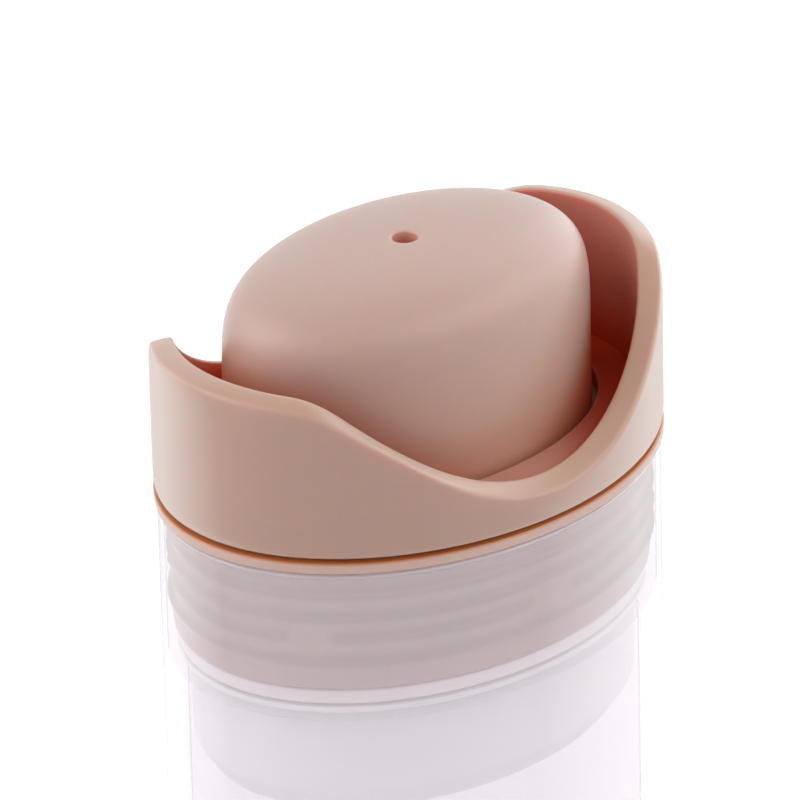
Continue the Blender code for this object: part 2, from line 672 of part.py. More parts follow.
def make_neck_gasket(parent):
    """The oval gasket between the plug's flange and the step in the bottle's neck."""
    outer = NECK_INSET + GAP
    top = NECK_GASKET_Z + NECK_GASKET_THICKNESS
    rings = [oval(outer, top), oval(outer, NECK_GASKET_Z), oval(BORE_INSET, NECK_GASKET_Z), oval(BORE_INSET, top)]
    return loft("neck_gasket", rings, HIDDEN_SIDES, SOFT_WHITE, parent)


def make_cylinder_cap(parent):
    """The cap that holds the barrel in the boss and guides the stem."""
    hole = STEM_RADIUS + GAP
    tube = CYLINDER_RADIUS - GAP
    return turned("cylinder_cap", [
        (CYLINDER_FLANGE_RADIUS, CAP_TOP_Z),
        (CYLINDER_FLANGE_RADIUS, CAP_Z),
        (tube, CAP_Z),
        (tube, CAP_TUBE_Z),
        (hole, CAP_TUBE_Z),
        (hole, CAP_TOP_Z),
    ], WHITE, parent)


def make_inlet_cage(parent):
    """The cage over the inlet ball: a small tower with side ports on a foot that carries the spring."""
    outer = CAGE_RADIUS + CAGE_WALL
    foot = CYLINDER_RADIUS - GAP
    foot_top = CAGE_Z + CAGE_FOOT_THICKNESS
    cage = turned("inlet_cage", [
        (outer, CAGE_TOP_Z),
        (outer, foot_top),
        (foot, foot_top),
        (foot, CAGE_Z),
        (CAGE_RADIUS, CAGE_Z),
        (CAGE_RADIUS, CAGE_ROOF_Z),
        (CAGE_HOLE_RADIUS, CAGE_ROOF_Z),
        (CAGE_HOLE_RADIUS, CAGE_TOP_Z),
    ], WHITE, parent)
    half = CAGE_PORT_WIDTH / 2
    reach = 2 * outer
    port_top = CAGE_ROOF_Z - GAP
    port_bottom = port_top - CAGE_PORT_HEIGHT
    along = box_mesh("port_x", (-reach, -half, port_bottom), (reach, half, port_top))
    across = box_mesh("port_y", (-half, -reach, port_bottom), (half, reach, port_top))
    for mesh in (along, across):
        join_or_cut(cage, add_tool("cage_" + mesh.name, mesh), "DIFFERENCE")
    return cage


def make_ball(parent):
    """The inlet ball, over the barrel's inlet hole."""
    shape = bmesh.new()
    bmesh.ops.create_uvsphere(shape, u_segments=BALL_SIDES, v_segments=BALL_RINGS, radius=BALL_RADIUS)
    mesh = bpy.data.meshes.new("inlet_ball")
    shape.to_mesh(mesh)
    shape.free()
    mesh.shade_smooth()
    ball = add_part("inlet_ball", mesh, STEEL, parent)
    ball.location = (0.0, 0.0, BALL_Z)
    return ball


def spring_height(turn_count):
    """Height of the wire's middle after so many turns: close end turns and open turns between."""
    bottom = SPRING_FOOT_Z + SPRING_WIRE / 2
    top = SPRING_TOP_Z - SPRING_WIRE / 2
    open_turns = SPRING_TURNS - 2
    open_pitch = (top - bottom - 2 * SPRING_END_PITCH) / open_turns
    if turn_count <= 1:
        return bottom + turn_count * SPRING_END_PITCH
    if turn_count >= SPRING_TURNS - 1:
        return top - (SPRING_TURNS - turn_count) * SPRING_END_PITCH
    return bottom + SPRING_END_PITCH + (turn_count - 1) * open_pitch


def make_spring(parent):
    """The return spring: one wire with a close turn at each end."""
    curve = bpy.data.curves.new("return_spring", "CURVE")
    curve.dimensions = "3D"
    curve.bevel_depth = SPRING_WIRE / 2
    curve.bevel_resolution = 1
    curve.use_fill_caps = True
    spline = curve.splines.new("POLY")
    count = SPRING_TURNS * SPRING_POINTS_PER_TURN + 1
    spline.points.add(count - 1)
    for step, point in enumerate(spline.points):
        turn_count = step / SPRING_POINTS_PER_TURN
        angle = 2 * math.pi * turn_count
        x, y = SPRING_RADIUS * math.cos(angle), SPRING_RADIUS * math.sin(angle)
        point.co = (x, y, spring_height(turn_count), 1.0)
    return add_part("return_spring", curve, STEEL, parent)


def make_chamber_plug(parent):
    """The cup that closes the product chamber: a flange in the neck and a socket for the barrel."""
    cup_inner = LINER_INSET + PLUG_WALL
    socket_inner = CYLINDER_OUTER_RADIUS + GAP
    socket_outer = socket_inner + PLUG_SOCKET_WALL
    socket_top = PLUG_FLOOR_Z + PLUG_SOCKET_HEIGHT
    rings = [
        oval(NECK_INSET + GAP, PLUG_FLANGE_TOP_Z),
        oval(NECK_INSET + GAP, PLUG_FLANGE_Z),
        oval(LINER_INSET, PLUG_FLANGE_Z),
        oval(LINER_INSET, PLUG_BOTTOM_Z + PLUG_CHAMFER_HEIGHT),
        oval(LINER_INSET + PLUG_CHAMFER_WIDTH, PLUG_BOTTOM_Z),
        circle(CLEAR_BORE_RADIUS, PLUG_BOTTOM_Z),
        circle(CLEAR_BORE_RADIUS, PLUG_FLOOR_Z),
        circle(socket_inner, PLUG_FLOOR_Z),
        circle(socket_inner, socket_top),
        circle(socket_outer, socket_top),
        circle(socket_outer, PLUG_FLOOR_Z),
        oval(cup_inner + PLUG_CHAMFER_WIDTH / 2, PLUG_FLOOR_Z),
        oval(cup_inner, PLUG_FLOOR_Z + PLUG_CHAMFER_HEIGHT / 2),
        oval(cup_inner, PLUG_FLANGE_TOP_Z),
    ]
    return loft("chamber_plug", rings, HIDDEN_SIDES, NATURAL, parent)


def make_follower(parent):
    """The follower piston: an open cup with a wiper lip at each end and a web with a boss."""
    body = LINER_INSET + FOLLOWER_LIP_REACH
    inner = body + FOLLOWER_WALL
    low_lip = FOLLOWER_Z + FOLLOWER_LIP_HEIGHT
    high_lip = FOLLOWER_TOP_Z - FOLLOWER_LIP_HEIGHT
    rings = [
        oval(inner, FOLLOWER_WEB_TOP_Z),
        oval(body, FOLLOWER_TOP_Z),
        oval(LINER_INSET, FOLLOWER_TOP_Z),
        oval(LINER_INSET, high_lip),
        oval(body, high_lip - FOLLOWER_LIP_REACH),
        oval(body, low_lip + FOLLOWER_LIP_REACH),
        oval(LINER_INSET, low_lip),
        oval(LINER_INSET, FOLLOWER_Z),
        oval(body, FOLLOWER_Z),
        oval(inner, low_lip + FOLLOWER_LIP_REACH),
        oval(inner, FOLLOWER_WEB_Z),
        circle(FOLLOWER_BOSS_RADIUS, FOLLOWER_WEB_Z),
        circle(FOLLOWER_BOSS_RADIUS, FOLLOWER_WEB_Z - FOLLOWER_BOSS_HEIGHT),
        circle(FOLLOWER_BOSS_RADIUS / 2, FOLLOWER_WEB_Z - FOLLOWER_BOSS_HEIGHT),
        circle(FOLLOWER_BOSS_RADIUS / 2, FOLLOWER_WEB_Z),
    ]
    return loft("follower_piston", rings, HIDDEN_SIDES, SOFT_WHITE, parent, capped=True)


def make_all():
    """Make every part, each under the empty of the body that it belongs to."""
    bottle = body_empty("bottle_body")
    plunger = body_empty("plunger_body")
    seal = body_empty("seal_body")
    ball = body_empty("ball_body")
    follower = body_empty("follower_body")
    make_bottle(bottle)
    make_base_plug(bottle)
    make_pump_base(bottle)
    make_wave_collar(bottle)
    make_cylinder(bottle)
    make_cylinder_cap(bottle)
    gasket_inner = CYLINDER_RADIUS
    gasket_outer = CYLINDER_FLANGE_RADIUS - GAP
    make_ring("cap_gasket", gasket_inner, gasket_outer, CAP_GASKET_Z, CAP_GASKET_THICKNESS, SOFT_WHITE, bottle)
    make_ring("foot_gasket", CLEAR_BORE_RADIUS, CYLINDER_OUTER_RADIUS, FOOT_GASKET_Z,
              FOOT_GASKET_THICKNESS, SOFT_WHITE, bottle)
    make_neck_gasket(bottle)
    make_chamber_plug(bottle)
    make_inlet_cage(bottle)
    make_spring(bottle)
    make_button(plunger)
    make_stem(plunger)
    make_piston_rod(plunger)
    make_piston_seal(seal)
    make_ball(ball)
    make_follower(follower)


PARTS, CUTTERS = clear_scene()
make_all()
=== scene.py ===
# %% [markdown]
# # An airless pump bottle
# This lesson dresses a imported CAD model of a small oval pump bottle. The bottle has a frosted wall,
# a tan collar whose rim runs in a wave, and a domed push button. Nearly every piece of it is a stack
# of oval or round rings, so one Geometry Nodes tree makes them all from short lists of sizes.

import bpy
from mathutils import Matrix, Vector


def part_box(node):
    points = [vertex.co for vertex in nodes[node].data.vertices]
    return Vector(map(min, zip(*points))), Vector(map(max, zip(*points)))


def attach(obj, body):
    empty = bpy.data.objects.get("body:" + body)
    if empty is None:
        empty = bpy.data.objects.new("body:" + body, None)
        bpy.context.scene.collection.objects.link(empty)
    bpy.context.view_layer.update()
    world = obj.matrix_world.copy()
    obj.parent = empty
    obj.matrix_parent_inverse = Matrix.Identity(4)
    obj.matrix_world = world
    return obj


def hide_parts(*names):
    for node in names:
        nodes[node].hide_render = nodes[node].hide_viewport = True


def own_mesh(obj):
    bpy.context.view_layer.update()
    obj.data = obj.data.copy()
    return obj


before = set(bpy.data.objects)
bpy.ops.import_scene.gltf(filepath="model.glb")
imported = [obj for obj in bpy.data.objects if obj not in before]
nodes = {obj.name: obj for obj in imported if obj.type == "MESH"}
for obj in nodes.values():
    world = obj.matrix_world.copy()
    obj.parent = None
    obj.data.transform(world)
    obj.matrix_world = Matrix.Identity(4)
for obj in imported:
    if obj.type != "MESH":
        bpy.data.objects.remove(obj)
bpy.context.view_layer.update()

# %% Tools of the lesson
import math
from functools import partial

import bmesh
import bpy
from mathutils import Matrix, Vector

MM = 0.001
print("Sizes below are in millimetres, and MM turns them into Blender's metres")

# %% [markdown]
# ## Sizes that everything shares
# The outline is one ellipse, and every wall of the bottle runs parallel to it. A wall is therefore
# named by its inset: how far inside the outline it lies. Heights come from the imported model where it
# has them, so the dressed pieces sit exactly where the CAD pieces sit.

# %% The oval and the heights
HALF_WIDTH = 22.8
HALF_DEPTH = 17.6
GAP = 0.3  # air between pieces that touch
GROOVE = 0.35  # the dark line under the collar


def low(name):
    """Lowest height of a CAD node, in millimetres."""
    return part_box(name)[0].z / MM


def high(name):
    """Highest height of a CAD node, in millimetres."""
    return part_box(name)[1].z / MM


BOTTLE_TOP = high("outer_bottle")
BOTTLE_FOOT = low("outer_bottle")
FLANGE_TOP = high("pump_base")
SEAM = FLANGE_TOP + GROOVE  # the collar's lower edge
BUTTON_TOP = high("actuator_button")
print("seam at %.2f, button top at %.2f" % (SEAM, BUTTON_TOP))
print("bottle from %.2f to %.2f" % (BOTTLE_FOOT, BOTTLE_TOP))

# %% The insets of the walls
COLLAR_WALL = 2.0  # inner face of the collar's rim
BOTTLE = 0.27  # outer face of the bottle
NECK = 0.75  # inner face of its thin neck
BORE = 2.27  # inner face below the neck
SKIRT = 1.25  # outer face of the base's skirt
RIDGE = 0.5  # how far its ridges stand out
FLANGE = 0.92  # thickness of the base's flange
print("bottle wall %.2f, thin neck wall %.2f" % (BORE - BOTTLE, NECK - BOTTLE))

# %% [markdown]
# ## The camera
# The photograph was taken from the front left with a long lens, so the far end looks hardly smaller
# than the near one. The same look needs a camera that is far away and has a long lens too.

# %% The camera
VIEW_TURN = math.radians(-42.64)
VIEW_TILT = math.radians(27.0)
VIEW_DISTANCE = 0.7955
VIEW_PIXELS = 9908  # focal length in pixels of the picture
PICTURE_WIDTH = 800
SENSOR_WIDTH = 36.0
LOOK_RIGHT, LOOK_UP = -0.00089, 0.00433
ROLL = -0.02415


def place_camera():
    """A long lens from the front left, aimed just above the seam and rolled a little."""
    level = math.cos(VIEW_TILT)
    back = Vector((math.sin(VIEW_TURN) * level, -math.cos(VIEW_TURN) * level, math.sin(VIEW_TILT)))
    right = Vector((math.cos(VIEW_TURN), math.sin(VIEW_TURN), 0.0))
    up = back.cross(right)
    ahead = (-back + LOOK_RIGHT * right + LOOK_UP * up).normalized()
    side = ahead.cross(Vector((0.0, 0.0, 1.0))).normalized()
    rise = side.cross(ahead)
    x_axis = math.cos(ROLL) * side + math.sin(ROLL) * rise
    y_axis = (-ahead).cross(x_axis)
    camera = bpy.data.objects.new("view", bpy.data.cameras.new("view"))
    bpy.context.scene.collection.objects.link(camera)
    turn = Matrix((x_axis, y_axis, -ahead)).transposed()
    place = Vector((0.0, 0.0, SEAM * MM)) + back * VIEW_DISTANCE
    camera.matrix_world = Matrix.Translation(place) @ turn.to_4x4()
    camera.data.sensor_width = SENSOR_WIDTH
    camera.data.lens = VIEW_PIXELS / PICTURE_WIDTH * SENSOR_WIDTH
    camera.data.clip_start, camera.data.clip_end = 0.05, 20.0
    bpy.context.scene.camera = camera
    return camera


view = place_camera()
print("lens %.0f mm" % view.data.lens)

# %% [markdown]
# ## One tree for all the rings
# A lathe makes round things. These rings are oval, and the collar's rim also rises and falls on its
# way round, so a lathe or a Screw modifier can't make them. The tree takes a section, which is a row
# of loose points that carry their sizes as attributes, and lays a grid of faces through it: one row
# of the grid for each point and one column for each step round the outline.

# %% Helpers for any node tree
def put(tree, kind, inputs=None, **settings):
    """Add a node, set its options and fill its inputs with values or with other nodes' outputs."""
    node = tree.nodes.new(kind)
    for name, value in settings.items():
        setattr(node, name, value)
    for place, value in (inputs or {}).items():
        if isinstance(value, bpy.types.NodeSocket):
            tree.links.new(value, node.inputs[place])
        else:
            node.inputs[place].default_value = value
    return node


def calc(tree, operation, *values):
    """The result of one Math node."""
    return put(tree, "ShaderNodeMath", dict(enumerate(values)), operation=operation).outputs[0]


def remap(tree, value, start, end, at_start=0.0, at_end=1.0, curve="LINEAR"):
    """Turn a value between start and end into one between at_start and at_end."""
    return put(tree, "ShaderNodeMapRange", {0: value, 1: start, 2: end, 3: at_start, 4: at_end},
               interpolation_type=curve).outputs[0]


def point(tree, x=0.0, y=0.0, z=0.0):
    """A vector from its three parts."""
    return put(tree, "ShaderNodeCombineXYZ", {0: x, 1: y, 2: z}).outputs[0]


# %% Helpers that start and end a Geometry Nodes tree
KINDS = {"Section": "Geometry", "Sides": "Int", "Points": "Int", "Finish": "Material"}


def start_tree(name, *inputs):
    """A tree with a shape as its output, and the sockets of its named inputs."""
    tree = bpy.data.node_groups.new(name, "GeometryNodeTree")
    tree.interface.new_socket("Geometry", in_out="OUTPUT", socket_type="NodeSocketGeometry")
    for label in inputs:
        kind = "NodeSocket" + KINDS.get(label, "Float")
        tree.interface.new_socket(label, in_out="INPUT", socket_type=kind)
    print("%s takes %s" % (name, ", ".join(inputs)))
    return tree, tree.nodes.new("NodeGroupInput").outputs


def end_tree(tree, shape, finish, smooth=True):
    """Shade the shape smooth, make instances real and give it its finish."""
    if smooth:
        shape = put(tree, "GeometryNodeSetShadeSmooth", {
            "Geometry": shape, "Shade Smooth": True}).outputs[0]
    real = put(tree, "GeometryNodeRealizeInstances", {"Geometry": shape})
    dressed = put(tree, "GeometryNodeSetMaterial", {"Geometry": real.outputs[0], "Material": finish})
    tree.links.new(dressed.outputs[0], tree.nodes.new("NodeGroupOutput").inputs[0])
    print("%s has %d nodes" % (tree.name, len(tree.nodes)))


print("kinds of input, Float apart:", KINDS)

# %% The rings tree's named inputs
rings_tree, given = start_tree(
    "Oval rings", "Section", "Sides", "Rim Dip", "Rim Crest", "Crest Swell", "End Drop", "Crest Start",
    "Crest Blend", "Level Fall", "Flank Fall", "Crest Fall", "Ridge Breaks", "Break Share", "Finish")
rule = partial(calc, rings_tree)  # a Math node of this tree

# %% [markdown]
# Each point of the grid asks for its row and its column. The row says which point of the section it
# copies its sizes from, and the column is its place round the outline, as an angle.

# %% Rows, columns and the angle round the outline
count = put(rings_tree, "GeometryNodeAttributeDomainSize", {0: given["Section"]},
            component="MESH").outputs[0]
columns = rule("ADD", given["Sides"], 1.0)
grid = put(rings_tree, "GeometryNodeMeshGrid", {
    "Vertices X": rule("ADD", count, 1.0), "Vertices Y": columns})
place = rings_tree.nodes.new("GeometryNodeInputIndex").outputs[0]
row = rule("FLOOR", rule("DIVIDE", rule("ADD", place, 0.5), columns))
column = rule("SUBTRACT", place, rule("MULTIPLY", row, columns))
round_share = rule("DIVIDE", column, given["Sides"])
turn = rule("MULTIPLY", round_share, 2 * math.pi)
cosine, sine = rule("COSINE", turn), rule("SINE", turn)
print("nodes so far:", len(rings_tree.nodes))


# %% A size of the present row
def of_section(label):
    """The section's own value of an attribute, for the grid's present row."""
    value = put(rings_tree, "GeometryNodeInputNamedAttribute", {"Name": label},
                data_type="FLOAT").outputs[0]
    index = rule("MODULO", row, count)
    return put(rings_tree, "GeometryNodeSampleIndex", {
        "Geometry": given["Section"], "Value": value, "Index": index}, data_type="FLOAT").outputs[0]


wide, deep = of_section("wide"), of_section("deep")
print("nodes so far:", len(rings_tree.nodes))

# %% [markdown]
# ## The wave's rule
# The rim climbs from its dip on each flat side as a parabola in the cosine of the angle, and rounds
# into the crest where the two heights meet. A smooth minimum does that rounding. One end's crest lies
# a little lower than the other's. The face of the rim also falls outwards, most in the dips, less on
# the crests and least on the steep flanks.

# %% The height of the rim
along = rule("POWER", rule("ABSOLUTE", cosine), 2.0)
steep = rule("DIVIDE", along, rule("POWER", given["Crest Start"], 2.0))
climb = rule("SUBTRACT", given["Rim Crest"], given["Rim Dip"])
flank = rule("MULTIPLY_ADD", climb, steep, given["Rim Dip"])
swell = rule("MULTIPLY", given["Crest Swell"], rule("SUBTRACT", along, 1.0))
end_share = rule("MULTIPLY_ADD", cosine, -0.5, 0.5)
level_crest = rule("SUBTRACT", given["Rim Crest"], rule("MULTIPLY", given["End Drop"], end_share))
crest = rule("ADD", level_crest, swell)
apart = rule("ABSOLUTE", rule("SUBTRACT", flank, crest))
blend = given["Crest Blend"]
near = rule("DIVIDE", rule("MAXIMUM", rule("SUBTRACT", blend, apart), 0.0), blend)
rounding = rule("MULTIPLY", rule("MULTIPLY", near, near), rule("DIVIDE", blend, 4.0))
rim_height = rule("SUBTRACT", rule("MINIMUM", flank, crest), rounding)
print("nodes so far:", len(rings_tree.nodes))

# %% The fall of the rim's face
climbed = rule("DIVIDE", rule("SUBTRACT", rim_height, given["Rim Dip"]), climb)
held = rule("MINIMUM", rule("MAXIMUM", climbed, 0.0), 1.0)
on_flank = rule("POWER", rule("SINE", rule("MULTIPLY", held, math.pi)), 2.0)
is_crest = rule("GREATER_THAN", held, 0.5)
crest_change = rule("SUBTRACT", given["Crest Fall"], given["Level Fall"])
level_fall = rule("MULTIPLY_ADD", crest_change, is_crest, given["Level Fall"])
fall_change = rule("SUBTRACT", given["Flank Fall"], level_fall)
rim_fall = rule("MULTIPLY_ADD", fall_change, on_flank, level_fall)
print("nodes so far:", len(rings_tree.nodes))

# %% [markdown]
# ## Where each point of the grid goes
# A ring parallel to an ellipse isn't an ellipse, so each point steps inwards along the outline's own
# normal. One ridge of the skirt runs in lengths with short breaks between them, and in a break the
# ridge sinks back into the wall.

# %% Breaks in a ridge
FADE = 0.03  # the share of a ridge's length that its end fades over
phase = rule("FRACT", rule("MULTIPLY_ADD", round_share, given["Ridge Breaks"], 0.5))
from_break = rule("MINIMUM", phase, rule("SUBTRACT", 1.0, phase))
half_break = rule("DIVIDE", given["Break Share"], 2.0)
in_break = remap(rings_tree, from_break, half_break, rule("ADD", half_break, FADE), 1.0, 0.0,
                 "SMOOTHSTEP")
print("nodes so far:", len(rings_tree.nodes))

# %% Steps along the outline's normal
SMALLEST_LENGTH = 1e-9  # keeps the division safe where a ring shrinks to a point
normal_x, normal_y = rule("MULTIPLY", deep, cosine), rule("MULTIPLY", wide, sine)
squares = [rule("POWER", rule("ABSOLUTE", part), 2.0) for part in (normal_x, normal_y)]
normal_length = rule("MAXIMUM", rule("SQRT", rule("ADD", *squares)), SMALLEST_LENGTH)
inset = rule("MULTIPLY_ADD", of_section("ridge"), in_break, of_section("inset"))
step_in = rule("DIVIDE", inset, normal_length)
stepped_x = rule("SUBTRACT", wide, rule("MULTIPLY", step_in, deep))
stepped_y = rule("SUBTRACT", deep, rule("MULTIPLY", step_in, wide))
print("nodes so far:", len(rings_tree.nodes))

# %% Positions, one skin and a finish
WELD = 0.002  # points closer than this become one
waved = rule("MULTIPLY_ADD", of_section("wave"), rim_height, of_section("rise"))
fallen = rule("SUBTRACT", waved, rule("MULTIPLY", of_section("fall"), rim_fall))
spot = point(rings_tree, rule("MULTIPLY", stepped_x, cosine), rule("MULTIPLY", stepped_y, sine), fallen)
laid = put(rings_tree, "GeometryNodeSetPosition", {"Geometry": grid.outputs["Mesh"], "Position": spot})
welded = put(rings_tree, "GeometryNodeMergeByDistance", {
    "Geometry": laid.outputs[0], "Distance": WELD * MM})
end_tree(rings_tree, welded.outputs[0], given["Finish"])

# %% [markdown]
# ## Sections and soft corners
# A section is written from the top down the outer side and back up the inner side. Moulded plastic
# has no knife edges, so a ring may carry a softness, and the helper below swaps that corner for a
# short curve. The light catches such an edge as a thin line, which is what makes it look real.

# %% Rings of a section
def oval(inset, rise, soft=0.0, wave=0.0, fall=0.0, ridge=0.0, wide=HALF_WIDTH, deep=HALF_DEPTH):
    """A ring parallel to an ellipse, which is the outline if no half sizes are given."""
    return {"wide": wide, "deep": deep, "inset": inset, "rise": rise, "soft": soft, "wave": wave,
            "fall": fall, "ridge": ridge}


def ellipse(half_width, half_depth, rise, soft=0.0):
    """A level elliptical ring with its own half sizes."""
    return oval(0.0, rise, soft, wide=half_width, deep=half_depth)


def hoop(radius, rise, soft=0.0):
    """A round ring."""
    return ellipse(radius, radius, rise, soft)


print("a ring's values:", ", ".join(hoop(1.0, 0.0)))

# %% Soft corners
RIM_DIP = 3.2
CORNER_STEPS = 4
LONGEST_START = 0.45  # a curve starts at most this share of the way to the next ring


def reach(near, far):
    """Distance between two rings, seen in the section across the flat sides."""
    def spot_of(ring):
        return ring["deep"] - ring["inset"], ring["rise"] + ring["wave"] * RIM_DIP
    return math.dist(spot_of(near), spot_of(far))


def between(near, far, share):
    """A ring a share of the way from one ring to another."""
    return {label: near[label] + (far[label] - near[label]) * share for label in near}


def softened(rings):
    """The same section with a curve in place of each soft corner."""
    made = []
    for number, ring in enumerate(rings):
        before, after = rings[number - 1], rings[(number + 1) % len(rings)]
        if not ring["soft"]:
            made.append(ring)
            continue
        start, end = [between(ring, other, min(LONGEST_START, ring["soft"] / reach(ring, other)))
                      for other in (before, after)]
        for step in range(CORNER_STEPS + 1):
            share = step / CORNER_STEPS
            made.append(between(between(start, ring, share), between(ring, end, share), share))
    return made


print("a soft corner becomes", CORNER_STEPS + 1, "rings")

# %% [markdown]
# The next helpers write a section as loose points, let the tree make its rings, swap the result in as
# a plain mesh and take the modifier away again. They measure the volume as a check, because a skin
# that is inside out has a negative one.

# %% From a section to loose points
LENGTHS = ("wide", "deep", "inset", "rise", "ridge")
SHARES = ("wave", "fall")


def section_mesh(name, rings):
    """Loose points that carry the sizes of their rings."""
    mesh = bpy.data.meshes.new(name)
    spots = [((ring["wide"] - ring["inset"]) * MM, 0.0, ring["rise"] * MM) for ring in rings]
    mesh.from_pydata(spots, [], [])
    for label in LENGTHS + SHARES:
        scale = MM if label in LENGTHS else 1.0
        values = [ring[label] * scale for ring in rings]
        mesh.attributes.new(label, "FLOAT", "POINT").data.foreach_set("value", values)
    return mesh


print("lengths:", ", ".join(LENGTHS), "and shares:", ", ".join(SHARES))

# %% From a tree's result to a plain mesh
SHARP_EDGE = math.radians(40)


def set_inputs(modifier, values):
    """Set a modifier's inputs by their sockets' identifiers."""
    for item in modifier.node_group.interface.items_tree:
        if item.item_type == "SOCKET" and item.in_out == "INPUT" and item.name in values:
            modifier[item.identifier] = values[item.name]


def bake(piece):
    """Swap the modifier's result in as a plain mesh with outward faces."""
    result = piece.evaluated_get(bpy.context.evaluated_depsgraph_get())
    mesh = bpy.data.meshes.new_from_object(result)
    piece.modifiers.clear()
    piece.data = mesh
    shape = bmesh.new()
    shape.from_mesh(mesh)
    volume = shape.calc_volume(signed=True)
    if volume < 0:
        bmesh.ops.reverse_faces(shape, faces=shape.faces)
    shape.to_mesh(mesh)
    shape.free()
    mesh.set_sharp_from_angle(angle=SHARP_EDGE)
    print("%s: %d faces, %.2f cm3" % (piece.name, len(mesh.polygons), abs(volume) * 1e6))


def grown(name, mesh, tree, values):
    """A piece whose mesh a tree makes from a first mesh and its inputs."""
    piece = bpy.data.objects.new(name, mesh)
    bpy.context.scene.collection.objects.link(piece)
    modifier = piece.modifiers.new("tree", "NODES")
    modifier.node_group = tree
    set_inputs(modifier, values)
    bake(piece)
    return piece


print("edges sharper than %.0f degrees stay sharp" % math.degrees(SHARP_EDGE))

# %% The wave's sizes, and a whole ringed piece
WAVE = {"Rim Dip": RIM_DIP * MM, "Rim Crest": 14.4 * MM, "Crest Swell": 1.5 * MM,
        "End Drop": 0.7 * MM, "Crest Start": 0.885, "Crest Blend": 1.4 * MM,
        "Level Fall": 0.9 * MM, "Flank Fall": 0.15 * MM, "Crest Fall": 0.65 * MM}


def ringed(name, rings, finish, body, node, sides=192, breaks=1.0, break_share=0.0):
    """A piece from its section, riding on its body in place of a CAD node."""
    values = {"Sides": sides, "Ridge Breaks": breaks, "Break Share": break_share, "Finish": finish}
    piece = grown(name, section_mesh(name, softened(rings)), rings_tree, {**WAVE, **values})
    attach(piece, body)
    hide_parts(node)


print("the rim climbs %.1f mm" % ((WAVE["Rim Crest"] - WAVE["Rim Dip"]) / MM))

# %% [markdown]
# ## Finishes
# Moulded plastic is never one flat colour. Its pigment is a little uneven, its skin has a fine grain
# from the mould, and handling leaves faint rub marks that change the gloss before they change the
# colour. All of that is small, so each noise below moves its value by a few percent only.

# %% A tree for a finish
def finish_tree(name, **values):
    """A material with some of its shader's sockets set, and the piece's coordinates to work from."""
    material = bpy.data.materials.new(name)
    material.use_nodes = True
    tree = material.node_tree
    shader = tree.nodes["Principled BSDF"].inputs
    for label, value in values.items():
        shader[label.replace("_", " ")].default_value = value
    spots = tree.nodes.new("ShaderNodeTexCoord").outputs["Object"]
    return material, tree, shader, spots


def reopened(material):
    """The tree, the shader's sockets and the piece's coordinates of a finish made before."""
    tree = material.node_tree
    coordinates = next(node for node in tree.nodes if node.type == "TEX_COORD").outputs
    return tree, tree.nodes["Principled BSDF"].inputs, coordinates


print("a value called Coat_Weight goes to the socket", "Coat_Weight".replace("_", " "))


# %% Noise, mixed colours and relief
def noise(tree, spots, size, detail=2.0):
    """Noise whose blotches are about this many millimetres across."""
    return put(tree, "ShaderNodeTexNoise", {"Vector": spots, "Scale": 1 / (size * MM), "Detail": detail},
               noise_dimensions="3D").outputs[0]


def spread(tree, value, lowest=0.0, highest=1.0):
    """Stretch the middle of a noise over a range of values."""
    return remap(tree, value, 0.3, 0.7, lowest, highest)


def blend_colours(tree, share, *tones):
    """A mix of two tones, each a plain colour or another node's output."""
    first, second = [tone if isinstance(tone, bpy.types.NodeSocket) else (*tone, 1.0) for tone in tones]
    return put(tree, "ShaderNodeMix", {0: share, 6: first, 7: second}, data_type="RGBA").outputs[2]


RELIEF = 0.02  # depth of the skin's grain


def roughened(tree, shader, skin, strength):
    """A fine grain that only the light sees."""
    bump = put(tree, "ShaderNodeBump", {"Strength": strength, "Distance": RELIEF * MM, "Height": skin})
    tree.links.new(bump.outputs[0], shader["Normal"])


print("noise with 5 mm blotches has a scale of %.0f" % (1 / (5 * MM)))

# %% Moulded plastic
PIGMENT_SIZE, RUB_SIZE, GRAIN_SIZE = 14.0, 5.0, 0.25
RUB = 0.04  # how far rubbing moves the roughness


def moulded(name, light, dark, rough, grain, **values):
    """Satin plastic: uneven pigment, a mould grain and rubbed places."""
    material, tree, shader, spots = finish_tree(name, **values)
    pigment = spread(tree, noise(tree, spots, PIGMENT_SIZE))
    tree.links.new(blend_colours(tree, pigment, light, dark), shader["Base Color"])
    rubbed = spread(tree, noise(tree, spots, RUB_SIZE, 4.0), rough - RUB, rough + RUB)
    tree.links.new(rubbed, shader["Roughness"])
    roughened(tree, shader, noise(tree, spots, GRAIN_SIZE, 3.0), grain)
    return material


WHITE = moulded("white_foot", (0.82, 0.82, 0.81), (0.79, 0.79, 0.78), 0.42, 0.15)
print(WHITE.name, "has", len(WHITE.node_tree.nodes), "nodes")

# %% [markdown]
# The inside pieces are paler and let some light in. It scatters under their skin and comes out
# nearby, which takes the hard shadows off them. The plug and the seals scatter all three colours
# alike and only over a short way, so that they stay bright.

# %% Soft and milky plastics
EVEN = (1.0, 1.0, 1.0)  # red, green and blue scatter alike
SOFT = moulded("soft_follower", (0.80, 0.80, 0.79), (0.76, 0.77, 0.76), 0.55, 0.2,
               Subsurface_Weight=0.1, Subsurface_Scale=0.001)
MILKY = moulded("milky_pump", (0.97, 0.96, 0.97), (0.95, 0.94, 0.95), 0.4, 0.1,
                Subsurface_Weight=0.5, Subsurface_Scale=0.004)
NATURAL = moulded("milky_plug", (0.98, 0.94, 0.955), (0.97, 0.93, 0.945), 0.4, 0.1,
                  Subsurface_Weight=0.8, Subsurface_Scale=0.0006, Subsurface_Radius=EVEN)
CLEAR_SEAL = moulded("clear_seal", (0.99, 0.94, 0.95), (0.98, 0.93, 0.94), 0.5, 0.1,
                     Subsurface_Weight=0.5, Subsurface_Scale=0.0004, Subsurface_Radius=EVEN)
